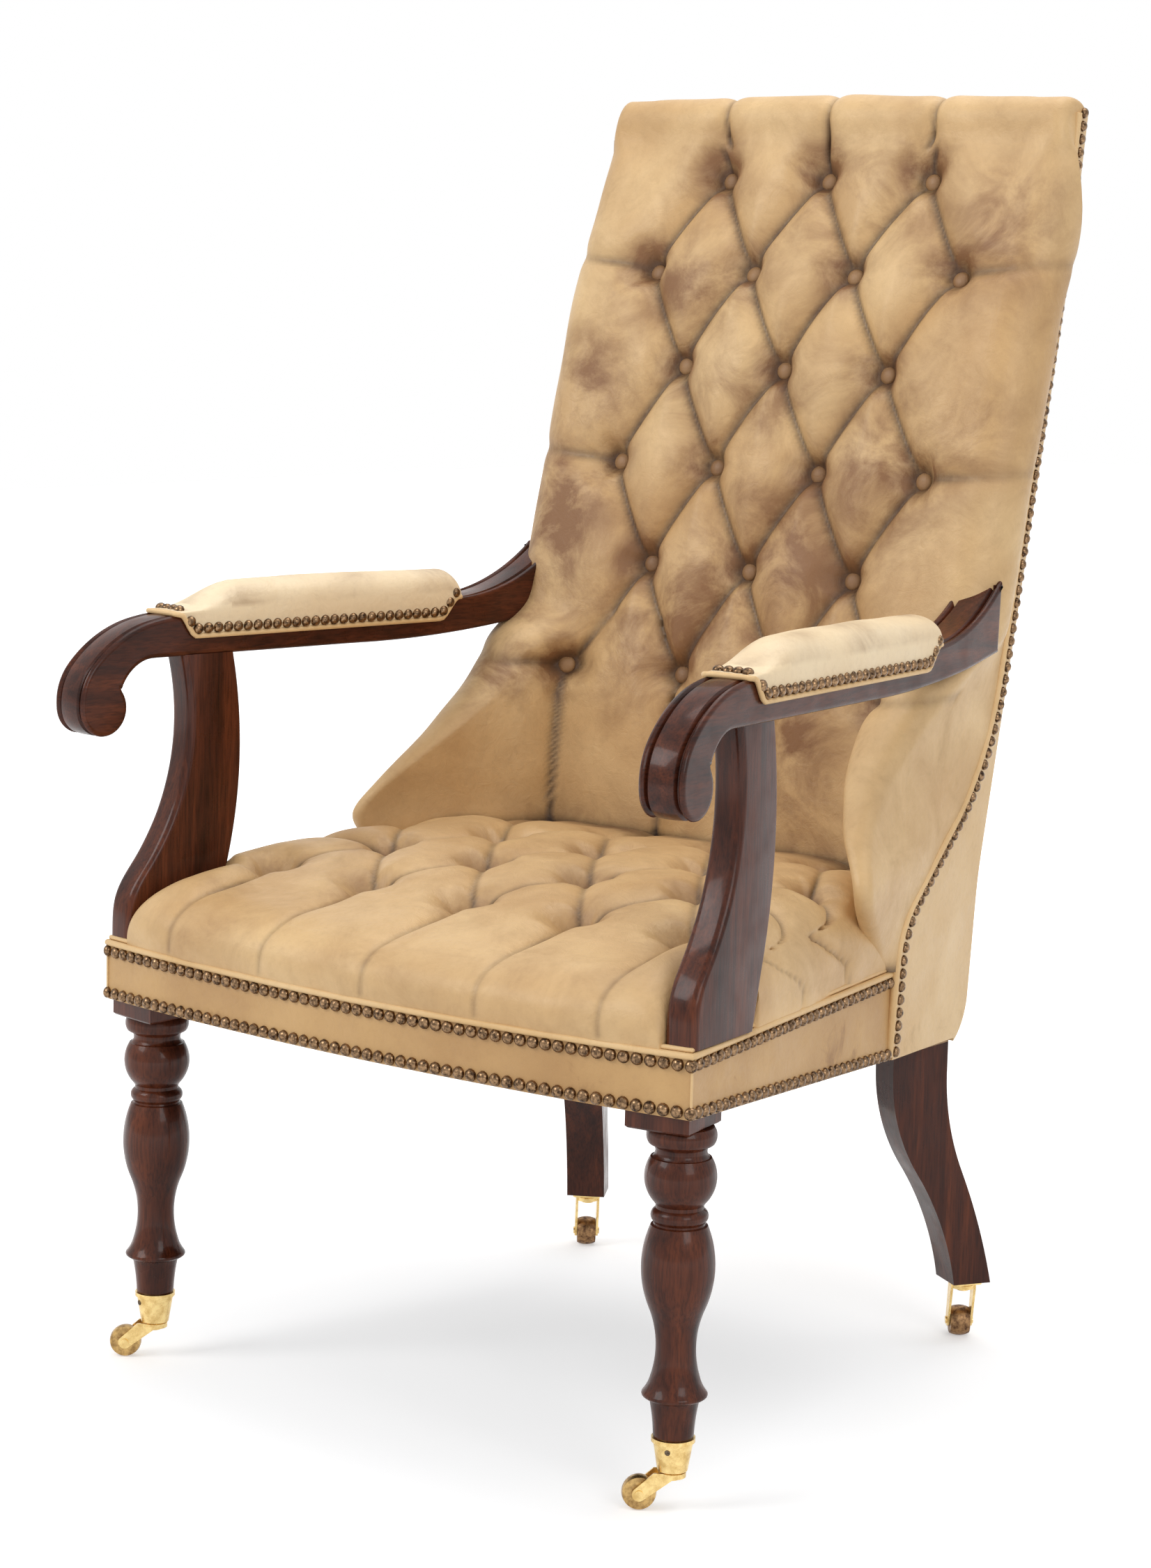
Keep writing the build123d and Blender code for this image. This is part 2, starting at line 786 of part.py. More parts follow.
with BuildPart() as arm_post:
    with BuildSketch(post_side):
        with BuildLine():
            post_foot_z = rail_top_z + lip_height
            p1 = ThreePointArc(
                (along(post_top_front), arm_under_z),
                (along(post_waist_front), post_waist_z),
                (along(post_bend_front), post_bend_z),
            )
            p2 = Line(p1 @ 1, (along(post_knee_front), post_knee_z))
            p3 = Line(p2 @ 1, (along(post_knee_front), post_foot_z))
            post_rear_edge(0)
            Line(p1 @ 0, (along(post_top_rear), arm_under_z))
            Line(p3 @ 1, (along(post_foot_rear), post_foot_z))
        make_face()
    extrude(amount=-post_width)
add_pair("arm_post", arm_post)

# Arm pads, stuffed and closed over the tops of the arms
with BuildPart() as arm_pad:
    pad_middle = arm_side.offset(-arm_width / 2)
    pad_front = along(pad_front_y)
    pad_rear = along(pad_rear_y)
    pad_low = arm_top_z - pad_drop
    pad_high = arm_top_z + pad_thickness
    with BuildSketch(pad_middle):
        with BuildLine():
            e1 = Line((pad_front, pad_low), (pad_front, arm_top_z))
            e2 = TangentArc(e1 @ 1, (pad_front + pad_thickness, pad_high - pad_crown), tangent=e1 % 1)
            e3 = ThreePointArc(
                e2 @ 1,
                ((pad_front + pad_rear) / 2, pad_high),
                (pad_rear - pad_thickness, pad_high - pad_crown),
            )
            e5 = Line((pad_rear, pad_low), (pad_rear, arm_top_z))
            TangentArc(e5 @ 1, e3 @ 1, tangent=e5 % 1)
            Line(e1 @ 0, e5 @ 0)
        make_face()
    extrude(amount=arm_width, both=True)
    section = Plane(
        origin=pad_middle.from_local_coords((pad_front - pad_thickness, 0, 0)),
        x_dir=arm_side.z_dir,
        z_dir=-arm_side.x_dir,
    )
    with BuildSketch(section):
        with BuildLine():
            half_pad = arm_width / 2 + pad_overhang
            s1 = Line((-half_pad, pad_low), (-half_pad, arm_top_z + pad_overhang))
            s2 = TangentArc(s1 @ 1, (-half_pad / 2, pad_high - pad_crown), tangent=s1 % 1)
            s3 = ThreePointArc(s2 @ 1, (0, pad_high), (half_pad / 2, pad_high - pad_crown))
            s5 = Line((half_pad, pad_low), (half_pad, arm_top_z + pad_overhang))
            TangentArc(s5 @ 1, s3 @ 1, tangent=s5 % 1)
            Line(s1 @ 0, s5 @ 0)
        make_face()
        with Locations((0, pad_low + pad_drop / 2 + skin_gap / 2)):
            Rectangle(arm_width + skin_gap * 2, pad_drop + skin_gap, mode=Mode.SUBTRACT)
    extrude(amount=-(pad_rear - pad_front + pad_thickness * 2), mode=Mode.INTERSECT)
add_pair("arm_pad", arm_pad)

# Front castors: cup, riveted stem, trailing horn and wheel
stem_hole = stem_radius + running_clearance
horn_top_z = cup_bottom_z - washer_height
with BuildPart() as front_cup:
    with BuildSketch(leg_view):
        with BuildLine():
            Polyline(
                (stem_radius, cup_bottom_z),
                (cup_bottom_radius, cup_bottom_z),
                (cup_top_radius, leg_foot_z - cup_lip_height),
                (cup_lip_radius, leg_foot_z - cup_lip_height),
                (cup_lip_radius, leg_foot_z),
                (cup_top_radius - cup_wall, leg_foot_z),
                (cup_bottom_radius - cup_wall, cup_bottom_z + cup_floor),
                (stem_radius, cup_bottom_z + cup_floor),
                close=True,
            )
        make_face()
    revolve(axis=leg_axis)
add_pair("front_castor_cup", front_cup)

with BuildPart() as front_stem:
    with BuildSketch(leg_view):
        with BuildLine():
            stem_foot = horn_top_z - horn_plate_height - side_play
            Polyline(
                (0, cup_bottom_z + cup_floor + stem_head_height),
                (stem_head_radius, cup_bottom_z + cup_floor + stem_head_height),
                (stem_head_radius, cup_bottom_z + cup_floor),
                (stem_radius, cup_bottom_z + cup_floor),
                (stem_radius, cup_bottom_z),
                (washer_radius, cup_bottom_z),
                (washer_radius, horn_top_z + seat_clearance),
                (stem_radius, horn_top_z + seat_clearance),
                (stem_radius, stem_foot),
                (rivet_radius, stem_foot),
                (rivet_radius, stem_foot - stem_head_height),
                (0, stem_foot - stem_head_height),
                close=True,
            )
        make_face()
    revolve(axis=leg_axis)
add_pair("front_castor_stem", front_stem)


def castor_plane(x, y, angle):
    """Upright plane through a castor's stem, along the way that its wheel trails."""
    trail = Vector(cos(radians(angle)), sin(radians(angle)), 0)
    return Plane(origin=(x, y, 0), x_dir=trail, z_dir=trail.cross(Vector(0, 0, 1)))


def build_fork(plane, top_z, plate_radius, plate_height, trail, wheel_radius, wheel_width):
    """Castor horn or fork: a round plate with two cheeks that carry the axle."""
    inner = wheel_width / 2 + side_play
    with BuildPart() as fork:
        with BuildSketch(Plane(origin=(plane.origin.X, plane.origin.Y, top_z))):
            Circle(plate_radius)
        extrude(amount=-plate_height)
        for side in (-1, 1):
            with BuildSketch(plane.offset(side * (inner + horn_cheek / 2))):
                with Locations((trail / 4, top_z - plate_height / 2)):
                    Rectangle(plate_radius + plate_radius / 2, plate_height)
                with Locations((trail, wheel_radius)):
                    Circle(axle_head_radius + horn_cheek)
                make_hull()
            extrude(amount=horn_cheek / 2, both=True)
        with BuildSketch(plane):
            with Locations((trail, wheel_radius)):
                Circle(axle_radius)
        extrude(amount=plate_radius * 2, both=True, mode=Mode.SUBTRACT)
        with BuildSketch(Plane(origin=(plane.origin.X, plane.origin.Y, top_z))):
            Circle(stem_hole)
        extrude(amount=-plate_height, mode=Mode.SUBTRACT)
    return fork


def build_wheel(plane, trail, wheel_radius, wheel_width, rim_drop):
    """Castor wheel with a slightly domed tread and a bore for its axle."""
    with BuildPart() as wheel:
        centre = plane.origin + plane.x_dir * trail
        with BuildSketch(Plane(origin=centre, x_dir=plane.z_dir, z_dir=-plane.x_dir)):
            with BuildLine():
                half = wheel_width / 2
                edge = wheel_radius + wheel_radius - rim_drop
                t1 = ThreePointArc((-half, edge), (0, wheel_radius * 2), (half, edge))
                t2 = Line(t1 @ 1, (half, wheel_radius + axle_radius + running_clearance))
                t3 = Line(t2 @ 1, (-half, wheel_radius + axle_radius + running_clearance))
                Line(t3 @ 1, t1 @ 0)
            make_face()
        revolve(axis=Axis((centre.X, centre.Y, wheel_radius), plane.z_dir))
    return wheel


def build_axle(plane, trail, wheel_radius, half_length):
    """Riveted axle with a head at each end."""
    with BuildPart() as axle:
        with BuildSketch(plane):
            with Locations((trail, wheel_radius)):
                Circle(axle_radius)
        extrude(amount=half_length + axle_head_height, both=True)
        for side in (-1, 1):
            with BuildSketch(plane.offset(side * (half_length + axle_head_height / 2))):
                with Locations((trail, wheel_radius)):
                    Circle(axle_head_radius)
            extrude(amount=axle_head_height / 2, both=True)
    return axle


front_half = front_wheel_width / 2 + side_play + horn_cheek
for end, side in (("_right", 1), ("_left", -1)):
    plane = castor_plane(side * block_centre_x, block_centre_y, front_trail_angle)
    pieces["front_castor_horn" + end] = build_fork(
        plane, horn_top_z, horn_plate_radius, horn_plate_height,
        front_trail, front_wheel_radius, front_wheel_width,
    )
    pieces["front_castor_wheel" + end] = build_wheel(
        plane, front_trail, front_wheel_radius, front_wheel_width, front_rim_drop,
    )
    pieces["front_castor_axle" + end] = build_axle(plane, front_trail, front_wheel_radius, front_half)

# Rear castors: plate with its stem, fork and barrel shaped roller
rear_fork_top = rear_leg_foot_z - rear_plate_height - washer_height
with BuildPart() as rear_plate:
    with BuildSketch(Plane(
        origin=(rear_foot_x, rear_foot_y, rear_leg_foot_z),
        x_dir=rear_out,
        z_dir=(0, 0, 1),
    )):
        RectangleRounded(rear_plate_side, rear_plate_side, washer_height * 2)
    extrude(amount=-rear_plate_height)
    with BuildSketch(Plane(origin=(rear_foot_x, rear_foot_y, 0), x_dir=(1, 0, 0), z_dir=(0, -1, 0))):
        with BuildLine():
            stem_foot = rear_fork_top - fork_plate_height - side_play
            Polyline(
                (0, rear_leg_foot_z - rear_plate_height),
                (washer_radius, rear_leg_foot_z - rear_plate_height),
                (washer_radius, rear_fork_top + seat_clearance),
                (stem_radius, rear_fork_top + seat_clearance),
                (stem_radius, stem_foot),
                (rivet_radius, stem_foot),
                (rivet_radius, stem_foot - stem_head_height),
                (0, stem_foot - stem_head_height),
                close=True,
            )
        make_face()
    revolve(axis=Axis((rear_foot_x, rear_foot_y, 0), (0, 0, 1)))
add_pair("rear_castor_plate", rear_plate)

rear_half = rear_wheel_width / 2 + side_play + horn_cheek
for end, side in (("_right", 1), ("_left", -1)):
    plane = castor_plane(side * rear_foot_x, rear_foot_y, rear_trail_angle)
    pieces["rear_castor_fork" + end] = build_fork(
        plane, rear_fork_top, fork_plate_radius, fork_plate_height,
        rear_trail, rear_wheel_radius, rear_wheel_width,
    )
    pieces["rear_castor_roller" + end] = build_wheel(
        plane, rear_trail, rear_wheel_radius, rear_wheel_width, rear_rim_drop,
    )
    pieces["rear_castor_axle" + end] = build_axle(plane, rear_trail, rear_wheel_radius, rear_half)

# Space that the side panels and their piping need, cut from the padding beside them
def build_side_space():
    """Everything outside the inner face of the right side panel, behind its piping."""
    with BuildPart() as space:
        with BuildSketch(Plane.YZ):
            with BuildLine():
                edge = wing_edge(piping_width + skin_gap * 2, rail_top_z, back_top_z)
                high = back_top_z + overrun
                Polyline(edge @ 1, (back_top_y - outside_panel, high), (back_top_y + overrun, high),
                         (back_top_y + overrun, rail_top_z), edge @ 0)
            make_face()
        extrude(amount=span)
        split(bisect_by=back_side_plane(side_panel_thickness + skin_gap), keep=Outward)
    return space


side_space = build_side_space()
stile_space = build_stile(skin_gap)
board_space = build_wing_board(skin_gap)


def cut_pair(space):
    """Cut a right hand space and its mirror image from the part being built."""
    add(space.part, mode=Mode.SUBTRACT)
    add(space.part.mirror(Plane.YZ), mode=Mode.SUBTRACT)


# Diamond buttoning: folds drawn in between the buttons, and a hollow round each button
def fold(start, end, up, width, depth):
    """Tool for one fold: a sharp valley between two rounded shoulders."""
    start = Vector(*start)
    run = Vector(*end) - start
    across = Vector(*up).cross(run)
    plane = Plane(origin=start, x_dir=across, z_dir=run)
    with BuildSketch(plane) as valley:
        with BuildLine():
            right = TangentArc((0, 0), (width, depth), tangent=(1, fold_slope))
            left = TangentArc((0, 0), (-width, depth), tangent=(-1, fold_slope))
            Polyline(right @ 1, (width, depth + overrun), (-width, depth + overrun), left @ 1)
        make_face()
    return extrude(valley.sketch, amount=run.length, mode=Mode.PRIVATE)


def hollow(centre, up, depth):
    """Tool for the hollow round one button."""
    plane = Plane(origin=Vector(*centre), z_dir=Vector(*up))
    profile = Plane(origin=Vector(*centre), x_dir=plane.x_dir, z_dir=plane.y_dir * -1)
    with BuildSketch(profile) as dish:
        with BuildLine():
            floor = Line((0, 0), (button_radius + skin_gap, 0))
            rim = TangentArc(floor @ 1, (hollow_radius, depth), tangent=(1, fold_slope * 2))
            Polyline(rim @ 1, (hollow_radius, depth + overrun), (0, depth + overrun), (0, 0))
        make_face()
    return revolve(dish.sketch, axis=Axis(plane.origin, plane.z_dir), mode=Mode.PRIVATE)


def button_rows(counts, heights, depths):
    """Places of the buttons, row by row, as (across, second, third) coordinates."""
    rows = []
    for count, first, second in zip(counts, heights, depths):
        rows.append([((i - (count - 1) / 2) * button_pitch, first, second) for i in range(count)])
    return rows


def diamond_folds(rows, up, width, depth):
    """Tools for the folds between the buttons of neighbouring rows."""
    tools = []
    for row, following in zip(rows, rows[1:]):
        for start in row:
            for end in following:
                if abs(start[0] - end[0]) < button_pitch:
                    tools.append(fold(start, end, up, width, depth))
    return tools


# Spaces that the arms and posts need, cut from the padding beside them
with BuildPart() as post_space:
    with BuildSketch(post_side.offset(-post_width - skin_gap)):
        with BuildLine():
            post_rear_edge(skin_gap)
            Polyline(
                (along(post_foot_rear) + skin_gap, rail_top_z + lip_height),
                (-span, rail_top_z + lip_height),
                (-span, arm_under_z),
                (along(post_top_rear) + skin_gap, arm_under_z),
            )
        make_face()
    extrude(amount=span)

with BuildPart() as arm_space:
    with BuildSketch(arm_side.offset(skin_gap)):
        with BuildLine():
            upper = arm_rear_top(skin_gap)
            Polyline(
                upper @ 0,
                (0, arm_top_z + skin_gap),
                (0, arm_under_z - skin_gap),
                (along(arm_rear_y / 2), arm_under_z + arm_sag - skin_gap),
                (along(arm_rear_y) + skin_gap, arm_rear_z - skin_gap),
                (along(arm_rear_y) + skin_gap, arm_rear_z + arm_rear_depth + skin_gap),
                upper @ 1,
            )
        make_face()
    extrude(amount=-arm_width - skin_gap * 2)
    with BuildSketch(arm_side.offset(-arm_width - skin_gap)):
        with Locations((along(arm_rear_y) + tenon_length / 2, arm_rear_z + arm_rear_depth / 2)):
            Rectangle(tenon_length + skin_gap, tenon_height + skin_gap * 2)
    extrude(amount=tenon_width + skin_gap * 2)


# Seat cushion: crowned both ways, full at its edges and drawn in by four rows of buttons
seat_tip_y = front_y - front_bow
bow_centre_y = seat_tip_y + bow_radius
seat_rows = []
for row in button_rows(seat_row_count, seat_row_y, seat_button_z):
    lowered = []
    for x, y, z in row:
        short = max(0, edge_fall_width - side_x(y) + abs(x))
        lowered.append((x, y, z - short * edge_fall_slope))
    seat_rows.append(lowered)


def seat_section(side):
    """Upright plane square to one side of the seat, with its origin at the front corner."""
    across = Vector(side * cos(radians(taper_angle)), sin(radians(taper_angle)), 0)
    return Plane(origin=(side * half_front, front_y, 0), x_dir=across, z_dir=across.cross(Vector(0, 0, 1)))


seat_up = (0, 0, 1)
seat_pleats = []
for x, y, z in seat_rows[0]:
    edge = (x, seat_tip_y - seat_bulge, z - pleat_fall)
    seat_pleats.append(fold((x, y, z), edge, seat_up, tuft_width, tuft_depth))
for x, y, z in seat_rows[-1]:
    seat_pleats.append(fold((x, y, z), (x, seat_fold_y + overrun, z), seat_up, tuft_width, tuft_depth))
for side in (1, -1):
    x, y, z = seat_rows[2][-1]
    edge = (side * (side_x(y) + seat_bulge), y, z - pleat_fall)
    seat_pleats.append(fold((side * x, y, z), edge, seat_up, tuft_width, tuft_depth))

def build_seat_form(gap):
    """The seat cushion before it is buttoned, grown by a gap where the wings lie on it."""
    with BuildPart() as form:
        swing = Vector(sin(radians(bow_sweep)), cos(radians(bow_sweep)), 0)
        bow_view = Plane(origin=(0, bow_centre_y, 0), x_dir=swing, z_dir=swing.cross(Vector(0, 0, 1)))
        with BuildSketch(bow_view):
            with BuildLine():
                front = seat_tip_y + leather - bow_centre_y
                c1 = ThreePointArc(
                    (front, seat_base_z),
                    (front - seat_bulge, seat_base_z + seat_roll_height * seat_bulge_share),
                    (front + seat_roll_depth, seat_base_z + seat_roll_height + gap),
                )
                crown = (seat_crown_y - bow_centre_y, seat_crown_z + gap)
                c2 = TangentArc(c1 @ 1, crown, tangent=c1 % 1)
                fold_end = (seat_fold_y - bow_centre_y, seat_fold_z - skin_gap + gap)
                c3 = TangentArc(c2 @ 1, fold_end, tangent=c2 % 1)
                Polyline(
                    c3 @ 1,
                    (seat_rear_y - bow_centre_y, seat_fold_z - skin_gap + gap),
                    (seat_rear_y - bow_centre_y, seat_base_z),
                    c1 @ 0,
                )
            make_face()
        revolve(axis=Axis((0, bow_centre_y, 0), (0, 0, 1)), revolution_arc=bow_sweep * 2)
        for side in (1, -1):
            with BuildSketch(seat_section(side)):
                with BuildLine():
                    d1 = ThreePointArc(
                        (gap - leather, seat_base_z),
                        (gap + seat_bulge, seat_base_z + seat_side_height / 2),
                        (gap - seat_side_depth, seat_base_z + seat_side_height),
                    )
                    high = seat_crown_z + leather + gap
                    d2 = TangentArc(d1 @ 1, (-half_front, high), tangent=d1 % 1)
                    Polyline(d2 @ 1, (-span - half_front, high), (-span - half_front, seat_base_z), d1 @ 0)
                make_face()
            extrude(amount=span, both=True, mode=Mode.INTERSECT)
        with BuildSketch(Plane.XZ.offset(-seat_rear_y)):
            with Locations((0, seat_crown_z)):
                Rectangle(span * 2, span)
        extrude(amount=span * 2, mode=Mode.INTERSECT)
    return form


with BuildPart() as seat_cushion:
    add(build_seat_form(0).part)
    cut_pair(post_space)
    cut_pair(side_space)
    cut_pair(board_space)
    cut_pair(stile_space)
    add(diamond_folds(seat_rows, seat_up, tuft_width, tuft_depth), mode=Mode.SUBTRACT)
    add(seat_pleats, mode=Mode.SUBTRACT)
    add([hollow(place, seat_up, tuft_depth) for row in seat_rows for place in row], mode=Mode.SUBTRACT)
pieces["seat_cushion"] = seat_cushion

# Back cushion: a tall buttoned panel, and under it a narrower one between the wings
back_rows = button_rows(back_row_count, back_button_y, back_button_z)
back_lean = atan2(back_shoulder_y - back_waist_y, back_shoulder_z - back_waist_z)
back_up = (0, -cos(back_lean), sin(back_lean))
back_corners = [
    (lower_panel_y, seat_fold_z),
    (back_waist_y, back_waist_z),
    (back_shoulder_y, back_shoulder_z),
    (back_brow_y, back_brow_z),
    (back_crown_y, back_crown_z),
    (back_top_y - outside_panel - skin_gap, back_top_z + skin_gap),
]
back_rounds = [back_waist_round, back_bend_radius, back_brow_round, back_crown_round]


back_pleats = []
for x, y, z in back_rows[0]:
    back_pleats.append(fold((x, y, z), (x, back_top_y, back_crown_z), back_up, tuft_width, tuft_depth))
for row in back_rows[1::2]:
    for side in (1, -1):
        x, y, z = row[-1]
        edge = (side * back_half_width, y + pleat_draw, z)
        back_pleats.append(fold((side * x, y, z), edge, back_up, tuft_width, tuft_depth))
for x, y, z in back_rows[-1]:
    foot = (x, lower_pleat_y, seat_fold_z)
    back_pleats.append(fold((x, y, z), foot, (0, -1, 0), tuft_width, tuft_depth))

with BuildPart() as lower_rail_space:
    with BuildSketch(Plane.YZ):
        with BuildLine():
            rail_low = lower_rail_z - skin_gap
            rail_high = lower_rail_z + cross_rail_height + skin_gap
            rear = back_curve(0, rail_low, rail_high)
            front = back_curve(outside_panel + stile_depth + skin_gap, rail_low, rail_high)
            Line(rear @ 0, front @ 0)
            Line(rear @ 1, front @ 1)
        make_face()
    extrude(amount=side_x(rear_y), both=True)


# Wings, the padded ends of the back that sweep forward under the arms
def nail_y(z):
    """Depth of the side panel's front edge at a height z, before its bends are rounded."""
    if z < wing_bend_z:
        return wing_foot_y
    low, high = wing_shoulder_z, lean_end_z
    near, far = wing_shoulder_y, back_y(lean_end_z) - panel_edge_inset
    if z < wing_shoulder_z:
        low, high = wing_bend_z, wing_shoulder_z
        near, far = wing_foot_y, wing_shoulder_y
    return near + (far - near) * (z - low) / (high - low)


def wing_plan(z, nose_x, nose_y, radius):
    """Plan of the right wing at one height, round a nose of a given place and radius."""
    inner = pleat_x + skin_gap
    rear = rear_y - outside_panel - skin_gap
    slant = radius * sin(pi / 4)
    nose_inner = (nose_x - slant, nose_y + radius - slant)
    middle_x = (inner + nose_inner[0]) / 2
    middle_y = (lower_panel_y + nose_inner[1]) / 2 + wing_hollow
    edge_y = min(nail_y(z), rear) - piping_width
    edge_x = back_side_x(edge_y, z) + piping_proud
    w1 = ThreePointArc((inner, lower_panel_y), (middle_x, middle_y), nose_inner)
    w2 = ThreePointArc(w1 @ 1, (nose_x, nose_y), (nose_x + radius, nose_y + radius))
    side_middle = ((w2 @ 1).X / 2 + edge_x / 2 + wing_bulge, (w2 @ 1).Y / 2 + edge_y / 2)
    w3 = ThreePointArc(w2 @ 1, side_middle, (edge_x, edge_y))
    Polyline(w3 @ 1, (back_side_x(rear, z) + piping_proud, rear), (inner, rear), w1 @ 0)


wing_sections = list(zip(wing_z, wing_nose_x, wing_nose_y, wing_nose_radius))
wing_sections.insert(0, (seat_base_z, *wing_foot_nose))
wing_sections.append((back_button_z[-1] - skin_gap, *wing_head_nose))
wing_pleat_end = (wing_pleat_x, wing_pleat_y, back_button_z[-1])
lower_button = back_rows[-1][-1]
with BuildPart() as wing:
    for section in wing_sections:
        with BuildSketch(Plane.XY.offset(section[0])):
            with BuildLine():
                wing_plan(*section)
            make_face()
    loft(ruled=True)
    add(build_seat_form(skin_gap).part, mode=Mode.SUBTRACT)
    add(stile_space.part, mode=Mode.SUBTRACT)
    add(board_space.part, mode=Mode.SUBTRACT)
    add(side_space.part, mode=Mode.SUBTRACT)
    add(lower_rail_space.part, mode=Mode.SUBTRACT)
    add(fold(lower_button, wing_pleat_end, (0, -1, 0), tuft_width / 2, tuft_depth / 2), mode=Mode.SUBTRACT)
    add(back_pleats[-1], mode=Mode.SUBTRACT)
    add([hollow(lower_button, back_up, tuft_depth)], mode=Mode.SUBTRACT)
add_pair("back_wing", wing)

with BuildPart() as back_cushion:
    with BuildSketch(Plane.YZ):
        with BuildLine():
            face = FilletPolyline(*back_corners, radius=back_rounds)
            behind = outside_panel + top_rail_depth + skin_gap
            high = frame_top_z + skin_gap
            inner = back_curve(behind, seat_fold_z, high)
            outer = back_curve(outside_panel + skin_gap, high, back_top_z + skin_gap)
            Line(inner @ 1, outer @ 0)
            Line(face @ 0, inner @ 0)
            Line(outer @ 1, face @ 1)
        make_face()
    extrude(amount=span, both=True)
    front_line = Vector(0, back_shoulder_y - back_waist_y, back_shoulder_z - back_waist_z)
    with BuildSketch(Plane(origin=(0, back_waist_y, back_waist_z), x_dir=(1, 0, 0), z_dir=front_line)):
        with BuildLine():
            side = back_half_width
            rim = back_edge_radius
            middle = Line((0, -leather), (side - rim, -leather))
            corner = (side - rim + rim * sin(pi / 4), rim - rim * cos(pi / 4) - leather)
            h1 = ThreePointArc(middle @ 1, corner, (side, rim - leather))
            h2 = TangentArc(h1 @ 1, (side - back_draw, rim * 3), tangent=(0, 1))
            Polyline(h2 @ 1, (side - back_draw, span), (0, span))
            mirror(about=Plane.YZ)
        make_face()
    extrude(amount=tall, both=True, mode=Mode.INTERSECT)
    with BuildSketch(Plane.XZ):
        low = back_button_z[-1]
        with Locations((0, (low + back_crown_z) / 2)):
            RectangleRounded(back_half_width * 2, back_crown_z - low, back_corner_radius)
        with Locations((0, low + back_corner_radius)):
            Rectangle(back_half_width * 2, back_corner_radius * 2)
        with Locations((0, low)):
            Rectangle(pleat_x * 2, (low - seat_fold_z) * 2)
    extrude(amount=span, both=True, mode=Mode.INTERSECT)
    cut_pair(stile_space)
    cut_pair(side_space)
    cut_pair(arm_space)
    add(lower_rail_space.part, mode=Mode.SUBTRACT)
    add(diamond_folds(back_rows, back_up, tuft_width, tuft_depth), mode=Mode.SUBTRACT)
    add(back_pleats, mode=Mode.SUBTRACT)
    add([hollow(place, back_up, tuft_depth) for row in back_rows for place in row], mode=Mode.SUBTRACT)
pieces["back_cushion"] = back_cushion

# Buttons, pulled down into the padding
with BuildPart() as button:
    with BuildSketch(Plane.XY.offset(skin_gap)):
        Circle(button_radius)
    extrude(amount=button_height)
    fillet(button.edges().group_by(Axis.Z)[-1], radius=button_height * 0.7)

with BuildPart() as seat_buttons:
    with Locations(*[Plane(origin=place) for row in seat_rows for place in row]):
        add(button.part)
pieces["seat_buttons"] = seat_buttons

with BuildPart() as back_buttons:
    with Locations(*[Plane(origin=place, z_dir=back_up) for row in back_rows for place in row]):
        add(button.part)
pieces["back_buttons"] = back_buttons

os.makedirs("parts", exist_ok=True)
for name, piece in pieces.items():
    piece.part.label = name
    export_step(piece.part, "parts/" + name + ".step")
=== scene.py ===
"""Looks of the library chair: polished mahogany, buttoned tan leather, nails and brass castors."""

from math import atan2, cos, hypot, pi, radians, sin

import bmesh
import bpy
import numpy as np
from mathutils import Matrix, Vector, noise


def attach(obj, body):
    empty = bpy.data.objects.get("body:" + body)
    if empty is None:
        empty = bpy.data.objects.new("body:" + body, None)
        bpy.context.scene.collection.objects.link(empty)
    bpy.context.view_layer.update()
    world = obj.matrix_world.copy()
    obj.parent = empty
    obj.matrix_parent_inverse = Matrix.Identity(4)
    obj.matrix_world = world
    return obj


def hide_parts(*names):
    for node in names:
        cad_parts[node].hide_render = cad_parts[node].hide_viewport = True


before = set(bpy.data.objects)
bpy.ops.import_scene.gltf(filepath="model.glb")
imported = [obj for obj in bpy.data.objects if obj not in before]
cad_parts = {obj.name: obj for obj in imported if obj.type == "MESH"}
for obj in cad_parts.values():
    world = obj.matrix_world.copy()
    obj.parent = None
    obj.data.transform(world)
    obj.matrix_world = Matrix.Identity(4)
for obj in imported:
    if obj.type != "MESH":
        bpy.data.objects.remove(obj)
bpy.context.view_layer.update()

# Front legs. Each is one turned length of mahogany with a square block left at its top,
# which is glued and dowelled into the corner of the seat frame.
chair = "chair"
both_sides = (("_right", 1), ("_left", -1))
# Sizes are written in millimetres, and mm turns them into metres.
mm = 0.001
leg_centre = (289.5, -269.5)
leg_around = 72
leg_pole_radius = 0.4
block_corners = (
    (261, -306.2), (280, -303.7), (300, -300.2), (316.5, -297), (306.4, -241), (261, -241),
)
block_chamfer = 1.6
block_heights = ((312, block_chamfer), (313.6, 0), (372.4, 0), (374, block_chamfer))


def three_point_arc(a, b, c, count):
    """Points along the arc from a through b to c, both ends included."""
    (ax, ay), (bx, by), (cx, cy) = a, b, c
    d = 2 * (ax * (by - cy) + bx * (cy - ay) + cx * (ay - by))
    a2, b2, c2 = ax * ax + ay * ay, bx * bx + by * by, cx * cx + cy * cy
    ox = (a2 * (by - cy) + b2 * (cy - ay) + c2 * (ay - by)) / d
    oy = (a2 * (cx - bx) + b2 * (ax - cx) + c2 * (bx - ax)) / d
    radius = hypot(ax - ox, ay - oy)
    start, middle, end = (atan2(p[1] - oy, p[0] - ox) for p in (a, b, c))
    turn = (end - start) % (2 * pi)
    if (middle - start) % (2 * pi) > turn:
        turn -= 2 * pi
    angles = [start + turn * i / (count - 1) for i in range(count)]
    return [(ox + radius * cos(t), oy + radius * sin(t)) for t in angles]


def new_object(name, data):
    """Object in the scene that carries a mesh, a lamp or a camera."""
    item = bpy.data.objects.new(name, data)
    bpy.context.scene.collection.objects.link(item)
    return item


